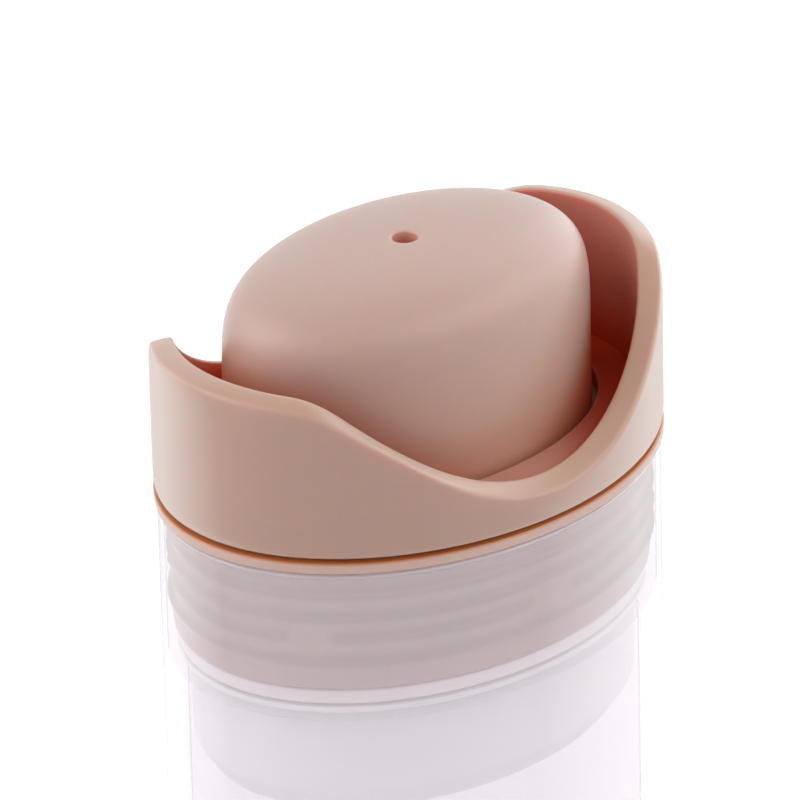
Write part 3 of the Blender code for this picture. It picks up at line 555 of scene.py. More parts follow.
print("plastics:", [finish.name for finish in (WHITE, SOFT, MILKY, NATURAL, CLEAR_SEAL)])

# %% [markdown]
# ## Painted shade in hollows, a painted glow on the rim, and gloss edge-on
# The tan plastic glows a little, and light that bounces between two walls of it loses more blue and
# green each time, so a narrow hollow looks deep orange-brown. That shade is painted into the colour:
# Ambient Occlusion measures how closed in a point is, and that share turns the colour towards a deep
# tone and takes the gloss away. The collar only gets this painted shade inside its oval, so that its
# outer side keeps one tone, and its rim gets a painted warm glow and less gloss on its upward faces,
# for light that leaves through the thin edge. The gloss itself grows where a surface turns away from
# the eye, as it does on every real plastic.

# %% Where a point lies, and how it faces
OVAL_EDGE = 1.015  # where the inside of an oval has faded to nothing


def inside_oval(tree, spots, half_width, half_depth):
    """1 inside an oval of these half sizes, falling to 0 just outside it."""
    parts = put(tree, "ShaderNodeSeparateXYZ", {0: spots}).outputs
    across = [calc(tree, "POWER", calc(tree, "ABSOLUTE", calc(tree, "DIVIDE", part, half * MM)), 2.0)
              for part, half in zip(parts, (half_width, half_depth))]
    distance = calc(tree, "SQRT", calc(tree, "ADD", *across))
    return remap(tree, distance, 1.0, OVAL_EDGE, 1.0, 0.0)


def upward(tree, vector):
    """The upward part of a vector."""
    return put(tree, "ShaderNodeSeparateXYZ", {0: vector}).outputs[2]


def turned_away(tree):
    """0 where a surface faces the eye, and 1 where it is seen edge-on."""
    return put(tree, "ShaderNodeLayerWeight", {"Blend": 0.5}).outputs["Facing"]


def gloss_edge_on(tree, face_on, full_at):
    """A gloss that grows from a share, seen face-on, to 1 where the surface has turned this far away."""
    return remap(tree, turned_away(tree), 0.3, full_at, face_on, 1.0)


INNER_OVAL = (HALF_WIDTH - COLLAR_WALL, HALF_DEPTH - COLLAR_WALL)
print("the collar's inner oval is %.1f by %.1f" % (2 * INNER_OVAL[0], 2 * INNER_OVAL[1]))


# %% Painted shade in hollows
def painted_hollow_shade(material, deep, reach, closed, opened, coat, full_at, least=0.0, oval=None):
    """Paint shade into hollows: the colour turns towards a deep tone, and the gloss down, where walls
    stand close in front.
    """
    tree, shader, coordinates = reopened(material)
    free = put(tree, "ShaderNodeAmbientOcclusion", {"Distance": reach * MM}, samples=8,
               only_local=bool(oval)).outputs["AO"]
    # painted shade: the share of the deep tone, from how closed in the point is
    painted_shade_share = remap(tree, free, closed, opened, 1.0, least, "SMOOTHSTEP")
    if oval:
        painted_shade_share = calc(tree, "MULTIPLY", painted_shade_share, inside_oval(tree, coordinates["Object"], *oval))
    pigment = shader["Base Color"].links[0].from_socket
    # the painted shade is mixed into the base colour
    tree.links.new(blend_colours(tree, painted_shade_share, pigment, deep), shader["Base Color"])
    open_share = calc(tree, "POWER", calc(tree, "SUBTRACT", 1.0, painted_shade_share), 2.0)
    gloss = calc(tree, "MULTIPLY", open_share, gloss_edge_on(tree, coat, full_at))
    tree.links.new(gloss, shader["Coat Weight"])


GLOW = {"Subsurface_Weight": 1.0, "Subsurface_Scale": 0.002, "Subsurface_Radius": (1.0, 0.28, 0.11)}
COLLAR_TAN = moulded("collar_tan", (0.70, 0.435, 0.345), (0.68, 0.415, 0.325), 0.36, 0.15, **GLOW,
                     Specular_IOR_Level=0.0, Coat_Roughness=0.4, Coat_IOR=5.0)
# painted shade inside the collar's oval, deepest where its walls and deck close in
painted_hollow_shade(COLLAR_TAN, (0.60, 0.06, 0.018), reach=25.0, closed=0.56, opened=0.98, coat=0.2,
         full_at=0.72, least=0.3, oval=INNER_OVAL)
print(COLLAR_TAN.name, "has", len(COLLAR_TAN.node_tree.nodes), "nodes")


# %% A painted warm glow on the rim
def painted_rim_glow(material, warm, dulled, oval):
    """Paint a warmer glow and less gloss on faces that look up outside an oval, for light that leaves by
    a thin rim.
    """
    tree, shader, coordinates = reopened(material)
    looks_up = remap(tree, upward(tree, coordinates["Normal"]), 0.4, 0.8)
    outside = calc(tree, "SUBTRACT", 1.0, inside_oval(tree, coordinates["Object"], *oval))
    share = calc(tree, "MULTIPLY", looks_up, outside)
    pigment, gloss = (shader[label].links[0].from_socket for label in ("Base Color", "Coat Weight"))
    # the painted glow is mixed into the base colour
    tree.links.new(blend_colours(tree, share, pigment, warm), shader["Base Color"])
    kept = calc(tree, "MULTIPLY_ADD", share, -dulled, 1.0)
    tree.links.new(calc(tree, "MULTIPLY", gloss, kept), shader["Coat Weight"])


# painted glow on the collar's rim: a warmer tone and less gloss on its upward faces
painted_rim_glow(COLLAR_TAN, (0.70, 0.445, 0.32), dulled=0.3, oval=INNER_OVAL)
print(COLLAR_TAN.name, "has", len(COLLAR_TAN.node_tree.nodes), "nodes now")

# %% [markdown]
# Some pieces get painted light and shade that follows height: the button has a painted warmer shade
# low down, where the collar stands round it, the thin line under the collar has a painted orange shade,
# and the skirt inside the frosted neck is painted darker and greyer than the flange above it, as shade
# inside the neck and the frosted wall's veil. The skirt's ridges are painted darker than the valleys
# between them, as painted shade.

# %% Painted light and shade for each height
def painted_light_by_height(material, tones):
    """Paint light and shade that follow height: blend from tone to tone. A tone of None keeps the
    material's own pigment.
    """
    tree, shader, coordinates = reopened(material)
    height = upward(tree, coordinates["Object"])
    pigment = shader["Base Color"].links[0].from_socket
    levels = [level * MM for level, tone in tones]
    shades = [pigment if tone is None else tone for level, tone in tones]
    colour = shades[0]
    for number in range(1, len(tones)):
        share = remap(tree, height, levels[number - 1], levels[number])
        colour = blend_colours(tree, share, colour, shades[number])
    tree.links.new(colour, shader["Base Color"])


BUTTON_TAN = moulded("button_tan", (0.78, 0.525, 0.455), (0.76, 0.505, 0.43), 0.47, 0.35, **GLOW,
                     Coat_Roughness=0.35)
# painted shade: the button is warmer low down, where the collar stands round it
painted_light_by_height(BUTTON_TAN, ((SEAM + 5.0, (0.77, 0.485, 0.365)), (SEAM + 14.0, None)))
# painted shade on the button near the collar's rim, a deep orange-brown where walls close in
painted_hollow_shade(BUTTON_TAN, (0.74, 0.27, 0.12), reach=8.0, closed=0.0, opened=0.6, coat=0.5, full_at=0.8)
print(BUTTON_TAN.name, "has", len(BUTTON_TAN.node_tree.nodes), "nodes")

# %% The base's tones, with painted shade on the skirt and in the groove
BASE_TAN = moulded("base_tan", (0.90, 0.65, 0.57), (0.88, 0.63, 0.55), 0.38, 0.15,
                   **{**GLOW, "Subsurface_Scale": 0.0006}, Coat_Weight=0.5, Coat_Roughness=0.2)
tree, shader, coordinates = reopened(BASE_TAN)
# painted shade on the skirt: darker and greyer than the flange, darkest on the ridges outside the
# valleys' oval
valley = inside_oval(tree, coordinates["Object"], HALF_WIDTH - SKIRT, HALF_DEPTH - SKIRT)
skirt_painted_shade = blend_colours(tree, valley, (0.435, 0.305, 0.285), (0.555, 0.385, 0.365))
# painted orange shade on the flange's top edge, in the groove under the collar
painted_light_by_height(BASE_TAN, (
    (FLANGE_TOP - FLANGE - 0.18, skirt_painted_shade), (FLANGE_TOP - FLANGE, None),
    (FLANGE_TOP - 0.2, None), (FLANGE_TOP - 0.05, (0.68, 0.26, 0.09))))
print(BASE_TAN.name, "has", len(tree.nodes), "nodes")

# %% [markdown]
# ## The frosted wall
# A frosted wall is a thin bright veil: most light goes through, some is scattered white on the way.
# So the shader transmits about four fifths and spreads the rest. Its index is close to 1, because a
# thin wall with two parallel faces hardly shifts what lies behind it, and a real index would trap the
# light between so many nested walls. The gloss sits on a coat instead, only on the outer side, and
# edge-on it grows until the bottle's sides melt into the white round them.

# %% Frosted wall
FROSTED, tree, shader, spots = finish_tree("frosted_wall", IOR=1.002, Coat_Roughness=0.12, Coat_IOR=5.0)
haze = spread(tree, noise(tree, spots, 9.0))
veil = blend_colours(tree, haze, (0.955, 0.925, 0.955), (0.945, 0.915, 0.95))
tree.links.new(veil, shader["Base Color"])
tree.links.new(spread(tree, noise(tree, spots, 3.0, 4.0), 0.14, 0.2), shader["Roughness"])
roughened(tree, shader, noise(tree, spots, 0.3), 0.03)
print(FROSTED.name, "has", len(tree.nodes), "nodes")

# %% Gloss on the outside only, and clearer plastic edge-on
GLOSS_DEPTH = 0.6  # the inset where the gloss has ended
RIM_CLEARNESS = 0.4  # the top rim lets less light through
core = inside_oval(tree, spots, HALF_WIDTH - GLOSS_DEPTH, HALF_DEPTH - GLOSS_DEPTH)
outside = calc(tree, "SUBTRACT", 1.0, core)
tree.links.new(calc(tree, "MULTIPLY", outside, gloss_edge_on(tree, 0.16, 0.62)), shader["Coat Weight"])
clear = remap(tree, turned_away(tree), 0.2, 0.95, 0.78, 1.0, "SMOOTHSTEP")
below_rim = remap(tree, upward(tree, spots), (BOTTLE_TOP - 0.3) * MM, (BOTTLE_TOP - 0.1) * MM,
                  1.0, RIM_CLEARNESS)
tree.links.new(calc(tree, "MULTIPLY", clear, below_rim), shader["Transmission Weight"])
print(FROSTED.name, "has", len(tree.nodes), "nodes now")

# %% [markdown]
# Spring wire is drawn through a die. That leaves it bright, with fine marks that change its gloss
# from place to place, so one small noise drives both its colour and its roughness.

# %% Bright wire
STEEL, tree, shader, spots = finish_tree("drawn_steel", Metallic=1.0)
drawn = spread(tree, noise(tree, spots, 0.6, 4.0))
tree.links.new(blend_colours(tree, drawn, (0.60, 0.60, 0.61), (0.68, 0.68, 0.69)), shader["Base Color"])
tree.links.new(spread(tree, drawn, 0.2, 0.34), shader["Roughness"])
print(STEEL.name, "has", len(tree.nodes), "nodes")

# %% [markdown]
# ## The wave collar
# This is the main piece. Its wall carries the wavy rim outside and a flat deck inside, and the deck
# has an oval opening for the button. Under the deck a short skirt with a bead snaps into the base.
# The rim's rings follow the wave, and the outer one also falls with the rim's face.

# %% The wave collar
DECK_TOP = SEAM + 2.2
DECK = DECK_TOP - 1.2
OPENING = (17.65, 11.9)
COLLAR_SKIRT = 3.4
SKIRT_WALL = 1.0
FINE = 256  # steps round the pieces that the photo shows
collar_rings = [
    oval(COLLAR_WALL, SEAM, 0.6, wave=1.0),
    oval(COLLAR_WALL * 0.4, SEAM, 0.4, wave=1.0, fall=0.5),
    oval(0.0, SEAM, 0.3, wave=1.0, fall=1.0),
    oval(0.0, SEAM, 0.3),
    oval(COLLAR_SKIRT, SEAM),
    oval(COLLAR_SKIRT, SEAM - 2.5),
    oval(COLLAR_SKIRT - 0.35, SEAM - 3.0, 0.2),
    oval(COLLAR_SKIRT, SEAM - 3.5),
    oval(COLLAR_SKIRT, SEAM - 4.2, 0.2),
    oval(COLLAR_SKIRT + SKIRT_WALL, SEAM - 4.2, 0.2),
    oval(COLLAR_SKIRT + SKIRT_WALL, DECK, 0.2),
    ellipse(*OPENING, DECK, 0.15),
    ellipse(*OPENING, DECK_TOP, 0.25),
    oval(COLLAR_WALL, DECK_TOP),
    oval(COLLAR_WALL, SEAM - 0.9, wave=1.0),
]
ringed("wave_rim_collar", collar_rings, COLLAR_TAN, "bottle", "wave_collar", sides=FINE)

# %% [markdown]
# ## The push button
# The button is a thin shell. Its side stands nearly upright and rolls over into a gentle dome, which
# a superellipse describes with two powers: one across and one upwards. The section goes down the
# outside, round the lip that holds it under the deck, up the inside, and round the socket.

# %% The dome's rings
BUTTON_HALVES = (17.15, 11.4)
INNER_HALVES = (15.55, 9.8)
LIP_HALVES = (18.1, 12.35)
LIP = 1.2  # height of the lip
LIP_BOTTOM = DECK - GAP - LIP
ACROSS_POWER, UP_POWER = 2 / 2.96, 2 / 8.75  # the superellipse's roundness, across and upwards
OUTER_STEPS, INNER_STEPS = 30, 20
UNDER_SOCKET = 3  # rings of the inner dome that the socket takes the place of


def dome(halves, foot, top, steps):
    """Rings from near the middle of the top down to the foot."""
    rings = []
    for step in range(steps - 1, 0, -1):
        angle = step / steps * math.pi / 2
        across, up = math.cos(angle) ** ACROSS_POWER, math.sin(angle) ** UP_POWER
        rings.append(ellipse(halves[0] * across, halves[1] * across, foot + (top - foot) * up))
    return rings


outer_dome = dome(BUTTON_HALVES, DECK_TOP, BUTTON_TOP, OUTER_STEPS)
inner_dome = dome(INNER_HALVES, LIP_BOTTOM, BUTTON_TOP - 1.6, INNER_STEPS)[UNDER_SOCKET:]
print("dome rings:", len(outer_dome), "outside and", len(inner_dome), "inside")

# %% The push button
STEM_TOP = high("stem")
TRAVEL = 3.5  # how far the button goes down
SOCKET_FOOT = high("cylinder_cap") + TRAVEL + 1.6
SOCKET, SOCKET_BORE, OUTLET = 4.3, 3.1, 1.05  # radii
button_rings = [
    *outer_dome,
    ellipse(*BUTTON_HALVES, DECK_TOP),
    ellipse(*BUTTON_HALVES, LIP_BOTTOM + LIP),
    ellipse(*LIP_HALVES, LIP_BOTTOM + LIP, 0.2),
    ellipse(*LIP_HALVES, LIP_BOTTOM, 0.2),
    ellipse(*INNER_HALVES, LIP_BOTTOM, 0.2),
    *reversed(inner_dome),
    hoop(SOCKET, BUTTON_TOP - 1.75),
    hoop(SOCKET, SOCKET_FOOT, 0.2),
    hoop(SOCKET_BORE, SOCKET_FOOT, 0.2),
    hoop(SOCKET_BORE, STEM_TOP + GAP),
    hoop(OUTLET, STEM_TOP + GAP),
    hoop(OUTLET, BUTTON_TOP, 0.18),
]
ringed("push_dome", button_rings, BUTTON_TAN, "plunger", "actuator_button", sides=FINE)

# %% [markdown]
# ## Ribs inside the button
# Four thin ribs carry the push from the shell to the socket. They repeat round the axis, so a tree
# places one bar four times and stretches it to the shell, further on the long axis than on the short
# one.

# %% The ribs' places and lengths
ribs_tree, rib = start_tree(
    "Dome ribs", "Start", "Long Reach", "Short Reach", "Thickness", "Foot", "Height", "Finish")
spokes = put(ribs_tree, "GeometryNodeMeshCircle", {"Vertices": 4, "Radius": rib["Start"]},
             fill_type="NONE")
raised = put(ribs_tree, "GeometryNodeSetPosition", {
    "Geometry": spokes.outputs[0], "Offset": point(ribs_tree, z=rib["Foot"])})
number = ribs_tree.nodes.new("GeometryNodeInputIndex").outputs[0]
is_short = calc(ribs_tree, "MODULO", number, 2.0)
change = calc(ribs_tree, "SUBTRACT", rib["Short Reach"], rib["Long Reach"])
length = calc(ribs_tree, "MULTIPLY_ADD", is_short, change, rib["Long Reach"])
print("nodes so far:", len(ribs_tree.nodes))

# %% One bar, four times
stretch = point(ribs_tree, length, rib["Thickness"], rib["Height"])
facing = point(ribs_tree, z=calc(ribs_tree, "MULTIPLY", number, math.pi / 2))
bar = put(ribs_tree, "GeometryNodeMeshCube", {"Size": (1.0, 1.0, 1.0)})
shifted = put(ribs_tree, "GeometryNodeTransform", {
    "Geometry": bar.outputs[0], "Translation": (0.5, 0.0, 0.5)})
placed = put(ribs_tree, "GeometryNodeInstanceOnPoints", {
    "Points": raised.outputs[0], "Instance": shifted.outputs[0], "Rotation": facing, "Scale": stretch})
end_tree(ribs_tree, placed.outputs[0], rib["Finish"], smooth=False)

# %% The ribs
RIB_START, RIB_LONG, RIB_SHORT = 3.7, 16.05, 10.3  # distances from the axis
ribs = grown("dome_ribs", bpy.data.meshes.new("dome_ribs"), ribs_tree, {
    "Start": RIB_START * MM, "Long Reach": (RIB_LONG - RIB_START) * MM,
    "Short Reach": (RIB_SHORT - RIB_START) * MM, "Thickness": 0.9 * MM,
    "Foot": (SEAM + 4.0) * MM, "Height": 6.5 * MM, "Finish": BUTTON_TAN})
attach(ribs, "plunger")

# %% [markdown]
# ## The bottle, its foot and the skirted base
# The bottle is an open oval tube. Its neck is thinner inside, so that the base's skirt fits into it,
# and a groove near the foot takes the foot's snap bead. The base is the tan ring between bottle and
# collar: a thin flange outside, a ridged skirt in the neck and a web with a round boss inside.

# %% The frosted bottle
NECK_STEP = low("neck_gasket") - GAP
SNAP = 0.45  # depth of a snap groove
bottle_rings = [
    oval(BOTTLE, BOTTLE_TOP, 0.35),
    oval(BOTTLE, BOTTLE_FOOT, 0.3),
    oval(BORE, BOTTLE_FOOT, 0.15),
    oval(BORE, 4.7), oval(BORE - SNAP, 5.2), oval(BORE - SNAP, 5.8), oval(BORE, 6.3),
    oval(BORE, NECK_STEP, 0.15),
    oval(NECK, NECK_STEP, 0.1),
    oval(NECK, BOTTLE_TOP, 0.2),
]
ringed("frosted_bottle", bottle_rings, FROSTED, "bottle", "outer_bottle", sides=FINE)

# %% The foot with its vent hole
IN_BORE = BORE + GAP  # outer face of what stands in the bottle
FOOT_INSIDE = IN_BORE + 1.3
FOOT_FLOOR, FOOT_TOP = 1.6, 8.0
VENT = 3.2  # radius of the hole
foot_rings = [
    oval(BOTTLE, FOOT_FLOOR, 0.15),
    oval(BOTTLE, 0.0, 0.6),
    hoop(VENT, 0.0, 0.15),
    hoop(VENT, FOOT_FLOOR, 0.15),
    oval(FOOT_INSIDE, FOOT_FLOOR, 0.3),
    oval(FOOT_INSIDE, FOOT_TOP, 0.2),
    oval(IN_BORE, FOOT_TOP, 0.2),
    oval(IN_BORE, 6.0), oval(IN_BORE - 0.35, 5.5, 0.15), oval(IN_BORE, 5.0),
    oval(IN_BORE, FOOT_FLOOR, 0.1),
]
ringed("bottle_foot", foot_rings, WHITE, "bottle", "base_plug")

# %% The skirt's ridges
RIDGE_PLACES = ((3.6, 0.0), (5.6, 0.0), (7.5, RIDGE), (9.6, 0.0))  # below the seam, depth of breaks
HALF_RIDGE = 0.8
ridges = []
for below, broken in RIDGE_PLACES:
    level = SEAM - below
    ridges += [oval(SKIRT, level + HALF_RIDGE, 0.3), oval(SKIRT - RIDGE, level, 0.4, ridge=broken),
               oval(SKIRT, level - HALF_RIDGE, 0.3)]
print("ridges:", len(RIDGE_PLACES), "in", len(ridges), "rings")

# %% The skirted base
SKIRT_INSIDE = 3.1
SKIRT_FOOT = SEAM - 12.15
WEB_TOP, WEB_FOOT = SEAM - 6.6, SEAM - 8.0
BOSS_TOP = SEAM - 1.8
BOSS, BOSS_BORE, WEB_HOLE = 9.0, 7.9, 6.6  # radii
base_rings = [
    oval(0.0, FLANGE_TOP, 0.2),
    oval(0.0, FLANGE_TOP - FLANGE, 0.2),
    oval(SKIRT, FLANGE_TOP - FLANGE, 0.15),
    *ridges,
    oval(SKIRT, SKIRT_FOOT, 0.2),
    oval(SKIRT_INSIDE, SKIRT_FOOT, 0.2),
    oval(SKIRT_INSIDE, WEB_FOOT, 0.3),
    hoop(WEB_HOLE, WEB_FOOT, 0.2),
    hoop(WEB_HOLE, WEB_TOP, 0.1),
    hoop(BOSS_BORE, WEB_TOP),
    hoop(BOSS_BORE, SEAM - 2.8), hoop(7.25, SEAM - 2.3, 0.2), hoop(BOSS_BORE, BOSS_TOP, 0.1),
    hoop(BOSS, BOSS_TOP, 0.2),
    hoop(BOSS, WEB_TOP, 0.3),
    oval(SKIRT_INSIDE, WEB_TOP, 0.3),
    oval(SKIRT_INSIDE, SEAM - 3.8), oval(SKIRT_INSIDE - SNAP, SEAM - 3.0),
    oval(SKIRT_INSIDE, SEAM - 2.2),
    oval(SKIRT_INSIDE, FLANGE_TOP, 0.2),
]
ringed("skirted_base", base_rings, BASE_TAN, "bottle", "pump_base", sides=FINE,
       breaks=6.0, break_share=0.16)

# %% [markdown]
# ## Inside the chamber
# Below the base hangs the chamber plug, a cup of milky plastic that holds the pump's barrel. Seen
# through the frosted neck it is only a pale shape with a faint lower edge, and its rim has a painted
# pink tint for light bounced from the skirt's tan. Near the foot waits the follower, an oval piston
# that rises as the product is used.

# %% The chamber plug
PLUG_TOP = SKIRT_FOOT - GAP
PLUG_RIM = 1.2  # thickness of its rim, which lies on the gasket
PLUG_FLOOR, PLUG_FOOT = low("foot_gasket") - GAP, low("chamber_plug")
RIM_INSET = 1.57  # outer face of its rim
PLUG_INSIDE = IN_BORE + 1.2
NOZZLE_HOLE = 3.3  # radius
plug_rings = [
    oval(RIM_INSET, PLUG_TOP, 0.2),
    oval(RIM_INSET, PLUG_TOP - PLUG_RIM, 0.2),
    oval(IN_BORE, PLUG_TOP - PLUG_RIM, 0.1),
    oval(IN_BORE, PLUG_FOOT + 2.4, 0.6),
    oval(IN_BORE + 1.6, PLUG_FOOT, 0.6),
    hoop(NOZZLE_HOLE, PLUG_FOOT, 0.2),
    hoop(NOZZLE_HOLE, PLUG_FLOOR, 0.1),
    hoop(6.6, PLUG_FLOOR, 0.1),
    hoop(6.6, PLUG_FLOOR + 2.5, 0.15),
    hoop(7.8, PLUG_FLOOR + 2.5, 0.15),
    hoop(7.8, PLUG_FLOOR, 0.2),
    oval(PLUG_INSIDE + 0.8, PLUG_FLOOR, 0.3),
    oval(PLUG_INSIDE, PLUG_FLOOR + 1.2, 0.3),
    oval(PLUG_INSIDE, PLUG_TOP, 0.2),
]
# painted bounce light: the plug's rim is tinted towards the skirt's tan
painted_light_by_height(NATURAL, ((PLUG_TOP - PLUG_RIM - 0.4, None), (PLUG_TOP - PLUG_RIM, (0.97, 0.87, 0.87))))
ringed("chamber_cup", plug_rings, NATURAL, "bottle", "chamber_plug")

# %% Its gasket
gasket_rings = [oval(inset, rise, 0.1) for inset, rise in (
    (RIM_INSET, high("neck_gasket")), (RIM_INSET, low("neck_gasket")),
    (BORE, low("neck_gasket")), (BORE, high("neck_gasket")))]
ringed("neck_seal", gasket_rings, CLEAR_SEAL, "bottle", "neck_gasket")

# %% The follower
foot, top = low("follower_piston"), high("follower_piston")
web = top - 2.8  # underside of its thin floor
WAIST = IN_BORE + 0.6  # outer face between its two lips
INSIDE = IN_BORE + 1.8
PULL, PULL_BORE = 4.0, 2.0  # radii of the post that a tool can pull
follower_rings = [
    hoop(0.0, top - 1.4),
    oval(INSIDE, top - 1.4, 0.3),
    oval(WAIST, top, 0.1),
    oval(IN_BORE, top, 0.1),
    oval(IN_BORE, top - 1.0, 0.1),
    oval(WAIST, top - 1.6, 0.3),
    oval(WAIST, foot + 1.6, 0.3),
    oval(IN_BORE, foot + 1.0, 0.1),
    oval(IN_BORE, foot, 0.1),
    oval(WAIST, foot, 0.1),
    oval(INSIDE, foot + 1.6, 0.3),
    oval(INSIDE, web, 0.4),
    hoop(PULL, web, 0.3),
    hoop(PULL, web - 3.0, 0.2),
    hoop(PULL_BORE, web - 3.0, 0.2),
    hoop(PULL_BORE, web, 0.2),
    hoop(0.0, web),
]
ringed("oval_follower", follower_rings, SOFT, "follower", "follower_piston")

# %% [markdown]
# ## The return spring
# The spring is one wire on a path: a helix with a close turn at each end, so that it stands flat.
# The tree bends a line of points into that path and sweeps a small circle along it. The button
# presses it flat.

# %% How far round and up the wire has come
spring_tree, coil = start_tree(
    "Return spring", "Turns", "Points", "Coil Radius", "Wire Radius", "Foot", "Height", "End Pitch",
    "Finish")
wind = partial(calc, spring_tree)
step = spring_tree.nodes.new("GeometryNodeInputIndex").outputs[0]
last = wind("SUBTRACT", coil["Points"], 1.0)
turns_done = wind("MULTIPLY", wind("DIVIDE", step, last), coil["Turns"])
into_last = wind("MAXIMUM", wind("SUBTRACT", turns_done, wind("SUBTRACT", coil["Turns"], 1.0)), 0.0)
close = wind("ADD", wind("MINIMUM", turns_done, 1.0), into_last)
open_height = wind("SUBTRACT", coil["Height"], wind("MULTIPLY", coil["End Pitch"], 2.0))
open_pitch = wind("DIVIDE", open_height, wind("SUBTRACT", coil["Turns"], 2.0))
climb_close = wind("MULTIPLY", close, coil["End Pitch"])
climb_open = wind("MULTIPLY", wind("SUBTRACT", turns_done, close), open_pitch)
wire_rise = wind("ADD", coil["Foot"], wind("ADD", climb_close, climb_open))
print("nodes so far:", len(spring_tree.nodes))

# %% The wire on its path
angle = wind("MULTIPLY", turns_done, 2 * math.pi)
wire_x, wire_y = [wind("MULTIPLY", coil["Coil Radius"], wind(name, angle))
                  for name in ("COSINE", "SINE")]
line = put(spring_tree, "GeometryNodeMeshLine", {"Count": coil["Points"]}, mode="OFFSET")
bent = put(spring_tree, "GeometryNodeSetPosition", {
    "Geometry": line.outputs[0], "Position": point(spring_tree, wire_x, wire_y, wire_rise)})
path = put(spring_tree, "GeometryNodeMeshToCurve", {0: bent.outputs[0]})
wire = put(spring_tree, "GeometryNodeCurvePrimitiveCircle", {
    "Resolution": 12, "Radius": coil["Wire Radius"]})
swept = put(spring_tree, "GeometryNodeCurveToMesh", {
    "Curve": path.outputs[0], "Profile Curve": wire.outputs[0], "Fill Caps": True})
end_tree(spring_tree, swept.outputs[0], coil["Finish"])

# %% The spring
WIRE, COIL = 0.3, 3.2  # radii
TURNS, TURN_POINTS = 5, 32
SPRING_FOOT, SPRING_TOP = low("return_spring"), high("return_spring")
spring = grown("coil_spring", bpy.data.meshes.new("coil_spring"), spring_tree, {
    "Turns": float(TURNS), "Points": TURNS * TURN_POINTS + 1, "Coil Radius": COIL * MM,
    "Wire Radius": WIRE * MM, "Foot": (SPRING_FOOT + WIRE) * MM,
    "Height": (SPRING_TOP - SPRING_FOOT - 2 * WIRE) * MM, "End Pitch": 0.75 * MM, "Finish": STEEL})
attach(spring, "bottle")
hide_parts("return_spring")
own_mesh(spring)
print("spring from %.2f to %.2f" % (SPRING_FOOT, SPRING_TOP))

# %% [markdown]
# ## The pump's round pieces
# The barrel, its cap, the stem and the sliding seal are turned shapes, so they are sections of hoops
# in the same tree. The smallest pieces keep their CAD meshes and only get a finish.

# %% The barrel
BARREL_TOP, BARREL_FOOT = high("pump_cylinder"), high("foot_gasket") + GAP
BARREL_FLOOR, NOZZLE_FOOT = low("inlet_cage") - GAP, low("pump_cylinder")
HEAD, BARREL, BARREL_BORE = 7.6, 6.3, 5.2  # radii
NOZZLE, NOZZLE_BORE = 3.0, 0.9  # radii
barrel_rings = [
    hoop(HEAD, BARREL_TOP, 0.15), hoop(HEAD, BARREL_TOP - 1.0, 0.15),
    hoop(BARREL, BARREL_TOP - 1.0, 0.1), hoop(BARREL, BARREL_FOOT, 0.3),
    hoop(NOZZLE, BARREL_FOOT, 0.2), hoop(NOZZLE, NOZZLE_FOOT, 0.2),
    hoop(1.5, NOZZLE_FOOT, 0.15), hoop(NOZZLE_BORE, BARREL_FOOT), hoop(NOZZLE_BORE, BARREL_FLOOR, 0.1),
    hoop(BARREL_BORE, BARREL_FLOOR, 0.3), hoop(BARREL_BORE, BARREL_TOP, 0.15),
]
ROUND = 96  # steps round the pump's small pieces
ringed("pump_barrel", barrel_rings, MILKY, "bottle", "pump_cylinder", sides=ROUND)

# %% The barrel's cap
CAP_TOP = high("cylinder_cap")
SLIDING = BARREL_BORE - GAP  # radius of what stands in the barrel
STEM_GUIDE = 3.1  # radius
cap_rings = [
    hoop(HEAD, CAP_TOP, 0.15), hoop(HEAD, CAP_TOP - 1.1, 0.15),
    hoop(SLIDING, CAP_TOP - 1.1, 0.1), hoop(SLIDING, CAP_TOP - 2.3, 0.15),
    hoop(STEM_GUIDE, CAP_TOP - 2.3, 0.1), hoop(STEM_GUIDE, CAP_TOP, 0.2),
]
ringed("barrel_cap", cap_rings, MILKY, "bottle", "cylinder_cap", sides=ROUND)

# %% The stem
STEM, STEM_BORE, ROD_SEAT = 2.8, 0.9, 2.1  # radii
STEM_FOOT, ROD_TOP = low("stem"), high("piston_rod") + GAP
stem_rings = [
    hoop(STEM, STEM_TOP, 0.3), hoop(STEM, STEM_FOOT, 0.1),
    hoop(ROD_SEAT, STEM_FOOT, 0.1), hoop(ROD_SEAT, ROD_TOP, 0.1),
    hoop(STEM_BORE, ROD_TOP, 0.1), hoop(STEM_BORE, STEM_TOP, 0.15),
]
ringed("feed_stem", stem_rings, MILKY, "plunger", "stem", sides=ROUND)

# %% The sliding seal
SEAL_TOP, SEAL_FOOT = high("piston_seal"), low("piston_seal")
SEAL_WAIST, SEAL_BORE = 4.3, 2.1  # radii
LIP_EDGE, LIP_END = 0.45, 0.9  # how far a lip's edge and its taper reach
seal_rings = [
    hoop(SLIDING, SEAL_TOP, 0.1), hoop(SLIDING, SEAL_TOP - LIP_EDGE, 0.1),
    hoop(SEAL_WAIST, SEAL_TOP - LIP_END, 0.2), hoop(SEAL_WAIST, SEAL_FOOT + LIP_END, 0.2),
    hoop(SLIDING, SEAL_FOOT + LIP_EDGE, 0.1), hoop(SLIDING, SEAL_FOOT, 0.1),
    hoop(SEAL_BORE, SEAL_FOOT, 0.1), hoop(SEAL_BORE, SEAL_TOP - LIP_END, 0.1),
    hoop(2.7, SEAL_TOP - LIP_END, 0.1), hoop(SEAL_WAIST, SEAL_TOP, 0.1),
]
ringed("sliding_seal", seal_rings, CLEAR_SEAL, "piston", "piston_seal", sides=ROUND)

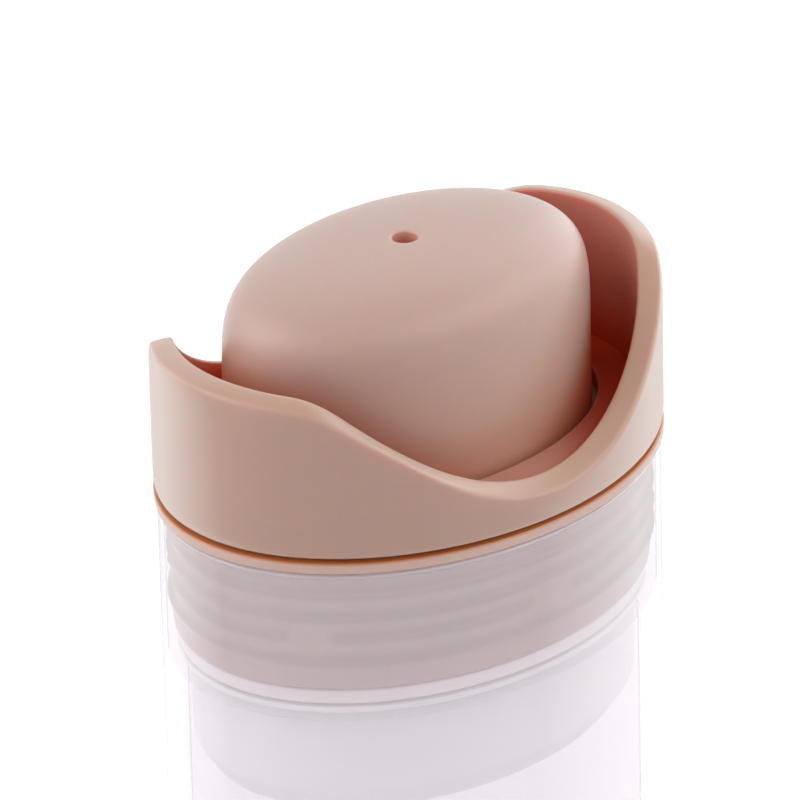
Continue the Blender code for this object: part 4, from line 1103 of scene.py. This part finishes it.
# %% Finishes for the pieces that keep their CAD meshes
KEPT = {"cap_gasket": CLEAR_SEAL, "foot_gasket": CLEAR_SEAL, "inlet_cage": MILKY, "piston_rod": MILKY,
        "inlet_ball": STEEL}
for name, finish in KEPT.items():
    for slot in nodes[name].material_slots:
        slot.material = finish
print("kept:", ", ".join(KEPT))

# %% [markdown]
# ## Floor, world and lamps
# The photo's ground is blown out to white. The floor and the world stay at a plain level for the
# object, and only the camera and the rays that reflect or pass through plastic see them as white.

# %% A white world
WORLD_LEVEL = 0.24


def seen_as_white(tree):
    """1 for rays from the camera and rays that reflect or pass through plastic, and 0 for the rest."""
    rays = tree.nodes.new("ShaderNodeLightPath").outputs
    sent_on = calc(tree, "MAXIMUM", rays["Is Glossy Ray"], rays["Is Transmission Ray"])
    return calc(tree, "MAXIMUM", rays["Is Camera Ray"], sent_on)


world = bpy.data.worlds.new("studio")
world.use_nodes = True
bpy.context.scene.world = world
sky = world.node_tree
background = sky.nodes["Background"].inputs
background["Color"].default_value = (1.0, 1.0, 1.0, 1.0)
sky.links.new(remap(sky, seen_as_white(sky), 0.0, 1.0, WORLD_LEVEL, 1.0), background["Strength"])
print("world level", WORLD_LEVEL)

# %% A pale floor's finish
FLOOR_GLOW = 0.6  # brings the floor up to white for those rays
PALE = bpy.data.materials.new("pale_floor")
PALE.use_nodes = True
tree = PALE.node_tree
tree.nodes.clear()
matt = put(tree, "ShaderNodeBsdfDiffuse", {"Color": (0.80, 0.80, 0.80, 1.0)})
glow = put(tree, "ShaderNodeEmission", {
    "Color": (1.0, 1.0, 1.0, 1.0), "Strength": calc(tree, "MULTIPLY", seen_as_white(tree), FLOOR_GLOW)})
both = put(tree, "ShaderNodeAddShader", {0: matt.outputs[0], 1: glow.outputs[0]})
tree.links.new(both.outputs[0], tree.nodes.new("ShaderNodeOutputMaterial").inputs[0])
print(PALE.name, "has", len(tree.nodes), "nodes")

# %% The floor
FLOOR_HALF = 4.0
FLOOR_DROP = 0.0002  # keeps the floor's face apart from the foot's
floor_mesh = bpy.data.meshes.new("floor")
shape = bmesh.new()
bmesh.ops.create_grid(shape, x_segments=1, y_segments=1, size=FLOOR_HALF)
shape.to_mesh(floor_mesh)
shape.free()
floor_mesh.materials.append(PALE)
floor = bpy.data.objects.new("floor", floor_mesh)
bpy.context.scene.collection.objects.link(floor)
floor.location = (0.0, 0.0, -FLOOR_DROP)
print("floor %.0f m across" % (2 * FLOOR_HALF))

# %% Soft lamps
LAMP_SIZE = 0.8
LAMP_AIM = Vector((0.0, 0.0, 0.10))
LAMPS = {  # place and power
    "left_box": ((-0.57, 0.53, 0.55), 3.2),
    "right_box": ((0.57, -0.53, 0.55), 2.3),
    "back_box": ((0.84, 0.11, 0.41), 1.8),
    "front_left_box": ((-0.69, -0.03, 0.68), 1.0),
    "front_right_box": ((0.03, -0.69, 0.68), 0.9),
}
for name, (place, power) in LAMPS.items():
    light = bpy.data.lights.new(name, "AREA")
    light.size, light.energy = LAMP_SIZE, power
    box = bpy.data.objects.new(name, light)
    bpy.context.scene.collection.objects.link(box)
    turn = (LAMP_AIM - Vector(place)).to_track_quat("-Z", "Y").to_matrix().to_4x4()
    box.matrix_world = Matrix.Translation(place) @ turn
bpy.context.scene.view_settings.view_transform = "Standard"
print("lamps:", ", ".join(LAMPS))
